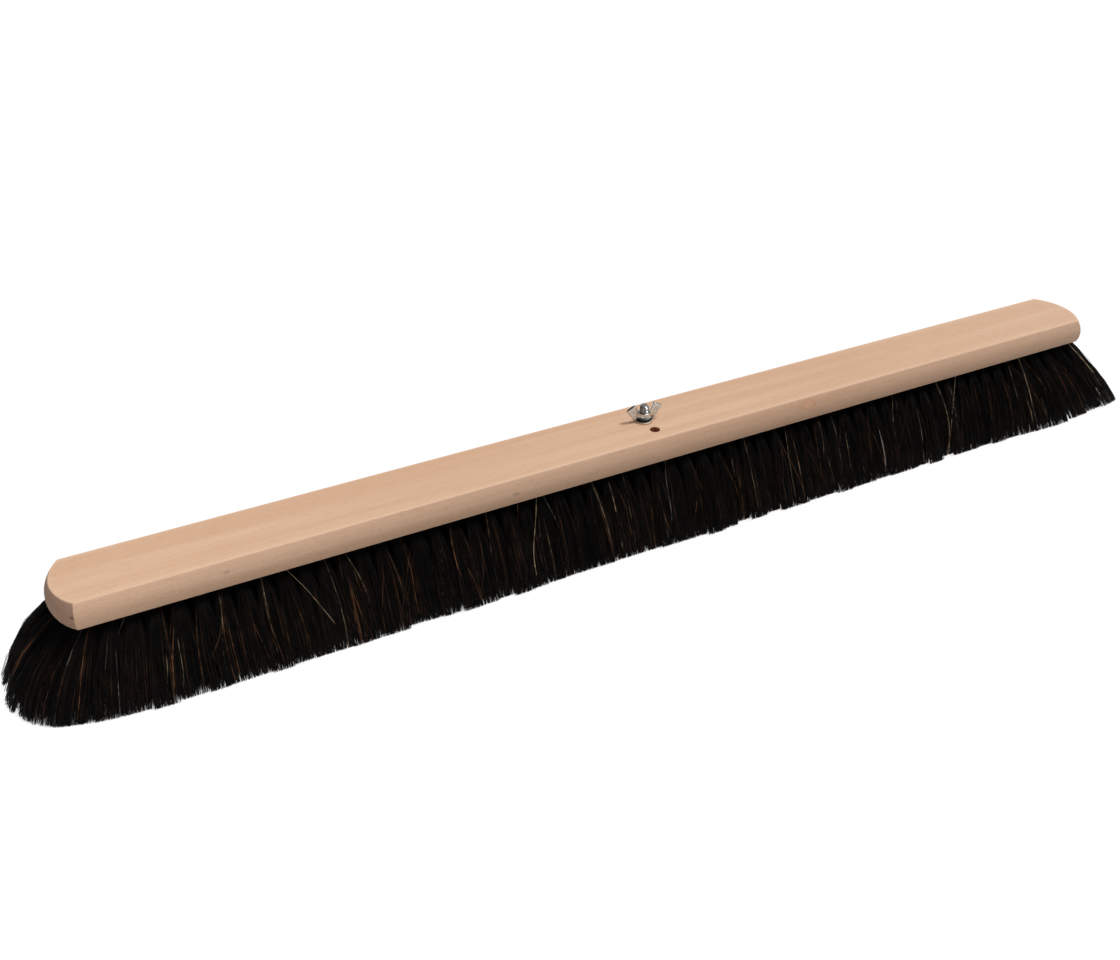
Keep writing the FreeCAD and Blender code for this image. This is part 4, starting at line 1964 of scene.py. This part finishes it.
@dataclass
class Studio:
    """White floor, soft lights and the camera.

    Attributes:
        camera_place: Where the camera stands.
        azimuth: Degrees that it looks round from +Y, positive from the right.
        elevation: Degrees above the horizon.
        lens: Focal length in millimetres.
        sensor: Width of the sensor in millimetres.
        floor_half: Half the side of the square floor.
        floor_tone: How pale the floor is in the light that it throws back.
        floor_glow: Share of plain white in the floor as the eye sees it.
        ambient: Strength of the light from all round.
        dark_side: How bright metal sees the studio overhead on the left.
        bright_side: How bright it sees it on the right.
        key_direction: Where the key light comes from.
        key_strength: Its strength.
        key_width: Its width in degrees.
        fill_place: Where the small fill light stands, off the left end.
        fill_aim: What it is aimed at, as shares of the part's reach to the left and up.
        fill_power: Its power in watts.
        fill_size: Its width.
        shade_radius: Corner radius of the floor's shaded place under the hair.
        shade_fade: Width over which that place fades out.
    """

    camera_place: Point = (-0.5255, -0.8242, 0.6452)
    azimuth: float = -28.19
    elevation: float = 32.23
    lens: float = 41.82
    sensor: float = 36.0
    floor_half: float = 30.0
    floor_tone: float = 0.50
    floor_glow: float = 0.72
    ambient: float = 0.33
    dark_side: float = 0.03
    bright_side: float = 0.34
    key_direction: Point = (0.40, -0.11, 0.91)
    key_strength: float = 2.60
    key_width: float = 19.0
    fill_place: Point = (-0.55, -0.36, 0.22)
    fill_aim: Pair = (0.85, 0.8)
    fill_power: float = 0.20
    fill_size: float = 0.16
    shade_radius: float = 0.040
    shade_fade: float = 0.012

    def build(self) -> None:
        """Makes the floor, the world, the lights and the camera."""
        self._floor()
        self._world()
        self._key()
        self._fill()
        self._camera()

    def _seen(self, graph: Graph) -> tuple[Signal, Signal]:
        """Tells who looks at a surface.

        Args:
            graph: The nodes of the surface or of the world.

        Returns:
            1 for the camera's own rays, and 1 for rays that metal or glass sends on.
        """
        path = graph.node("ShaderNodeLightPath").outputs
        camera, glossy, through = (Signal(graph, path[f"Is {kind} Ray"])
                                   for kind in ("Camera", "Glossy", "Transmission"))
        return camera, glossy.most(through)

    def _floor(self) -> None:
        """A flat pale floor, white to the eye, that keeps the broom's shadow."""
        h = self.floor_half
        corners = np.array([[-h, -h, 0], [h, -h, 0], [h, h, 0], [-h, h, 0]], float)
        plane = Surface(corners, [np.array([[0, 1, 2, 3]])])
        floor = into_scene("floor", plane.mesh("floor", smooth=False))
        made = bpy.data.materials.new("pale_floor")
        graph = Graph(made)
        camera, mirrored = self._seen(graph)
        colour = graph.blend(camera, (self.floor_tone,) * 3, WHITE)
        matt = graph.node("ShaderNodeBsdfDiffuse", inputs={"Color": colour})
        white = graph.node("ShaderNodeEmission", inputs={"Color": WHITE, "Strength": 1.0})
        mixed = graph.node("ShaderNodeMixShader", inputs={
            0: camera.most(mirrored) * self._clear_of_hair(graph) * self.floor_glow,
            1: matt.outputs[0], 2: white.outputs[0]})
        graph.finish(mixed.outputs[0])
        floor.data.materials.append(made)

    def _clear_of_hair(self, graph: Graph) -> Signal:
        """1 on the open floor, 0 where the trimmed hair stands on it.

        It rises over the last stretch before the outline of a rectangle with rounded
        corners, which is as far from the corner's centre as its radius.

        Args:
            graph: The floor's nodes.

        Returns:
            The mask.
        """
        _, x, y, _ = graph.axes()
        reach_x, reach_y = (cad_box[1][axis] - self.shade_radius for axis in (0, 1))
        over = (abs(x) - reach_x).most(0.0).hypot((abs(y) - reach_y).most(0.0))
        return over.rise(self.shade_radius - self.shade_fade, self.shade_radius)

    def _world(self) -> None:
        """White to the eye, and an even soft light on the broom.

        In metal it is white near the horizon, as the backdrop is, and dark overhead, as
        a studio's ceiling is, with a paler side to the right where the key light hangs.
        """
        world = bpy.data.worlds.new("studio")
        bpy.context.scene.world = world
        graph = Graph(world)
        camera, mirrored = self._seen(graph)
        _, side, _, height = graph.axes("Generated")
        ceiling = self.dark_side + (self.bright_side - self.dark_side) * side.rise(-0.1, 0.6)
        overhead = ceiling + (1 - ceiling) * height.rise(0.12, 0.0)
        strength = self.ambient + camera * (1 - self.ambient)
        strength = strength + mirrored * (overhead - self.ambient)
        shade = graph.node("ShaderNodeBackground", inputs={"Color": WHITE, "Strength": strength})
        graph.node("ShaderNodeOutputWorld", inputs={0: shade.outputs[0]})

    def _aimed(self, name: str, data: bpy.types.ID, place: Point,
               back: Vector) -> bpy.types.Object:
        """A lamp or camera, which looks along its own -Z.

        Args:
            name: Its name.
            data: The lamp or camera.
            place: Where it stands.
            back: The direction behind it.

        Returns:
            The new object.
        """
        thing = into_scene(name, data)
        thing.location = place
        thing.rotation_mode = "QUATERNION"
        thing.rotation_quaternion = back.to_track_quat("Z", "Y")
        return thing

    def _key(self) -> None:
        """The key light: one wide soft light, the same all over the floor."""
        data = bpy.data.lights.new("key", "SUN")
        data.angle, data.energy = math.radians(self.key_width), self.key_strength
        self._aimed("key", data, self.key_direction, Vector(self.key_direction))

    def _fill(self) -> None:
        """A small soft light off the left end, which the camera doesn't see."""
        data = bpy.data.lights.new("fill", "AREA")
        data.shape, data.size, data.energy = "DISK", self.fill_size, self.fill_power
        target = Vector((cad_box[0][0] * self.fill_aim[0], 0, cad_box[1][2] * self.fill_aim[1]))
        lamp = self._aimed("fill", data, self.fill_place, Vector(self.fill_place) - target)
        lamp.visible_camera = False

    def _camera(self) -> None:
        """The camera, level and with no shift."""
        data = bpy.data.cameras.new("camera")
        data.lens, data.sensor_width = self.lens, self.sensor
        data.clip_start, data.clip_end = 0.01, 100.0
        a, e = math.radians(self.azimuth), math.radians(self.elevation)
        back = Vector((math.sin(a) * math.cos(e), -math.cos(a) * math.cos(e), math.sin(e)))
        bpy.context.scene.camera = self._aimed("camera", data, self.camera_place, back)


def main() -> None:
    """Builds the studio and every sub-assembly in order."""
    logging.basicConfig(level=logging.INFO, format="%(name)s: %(message)s")
    bpy.context.scene.view_settings.view_transform = "Standard"
    board = Board()
    layout = TuftLayout(board)
    Studio().build()
    BroomBlock(layout).build()
    HairRows(layout).build()
    CarriageBolt(board).build()
    washer = FlatWasher(board)
    washer.build()
    WingNut(board, board.top + washer.thickness).build()
    wire = AnchorWire().material()
    for row in range(layout.row_count):
        dress(f"anchor_row_{row + 1}", wire)


if __name__ == "__main__":
    main()
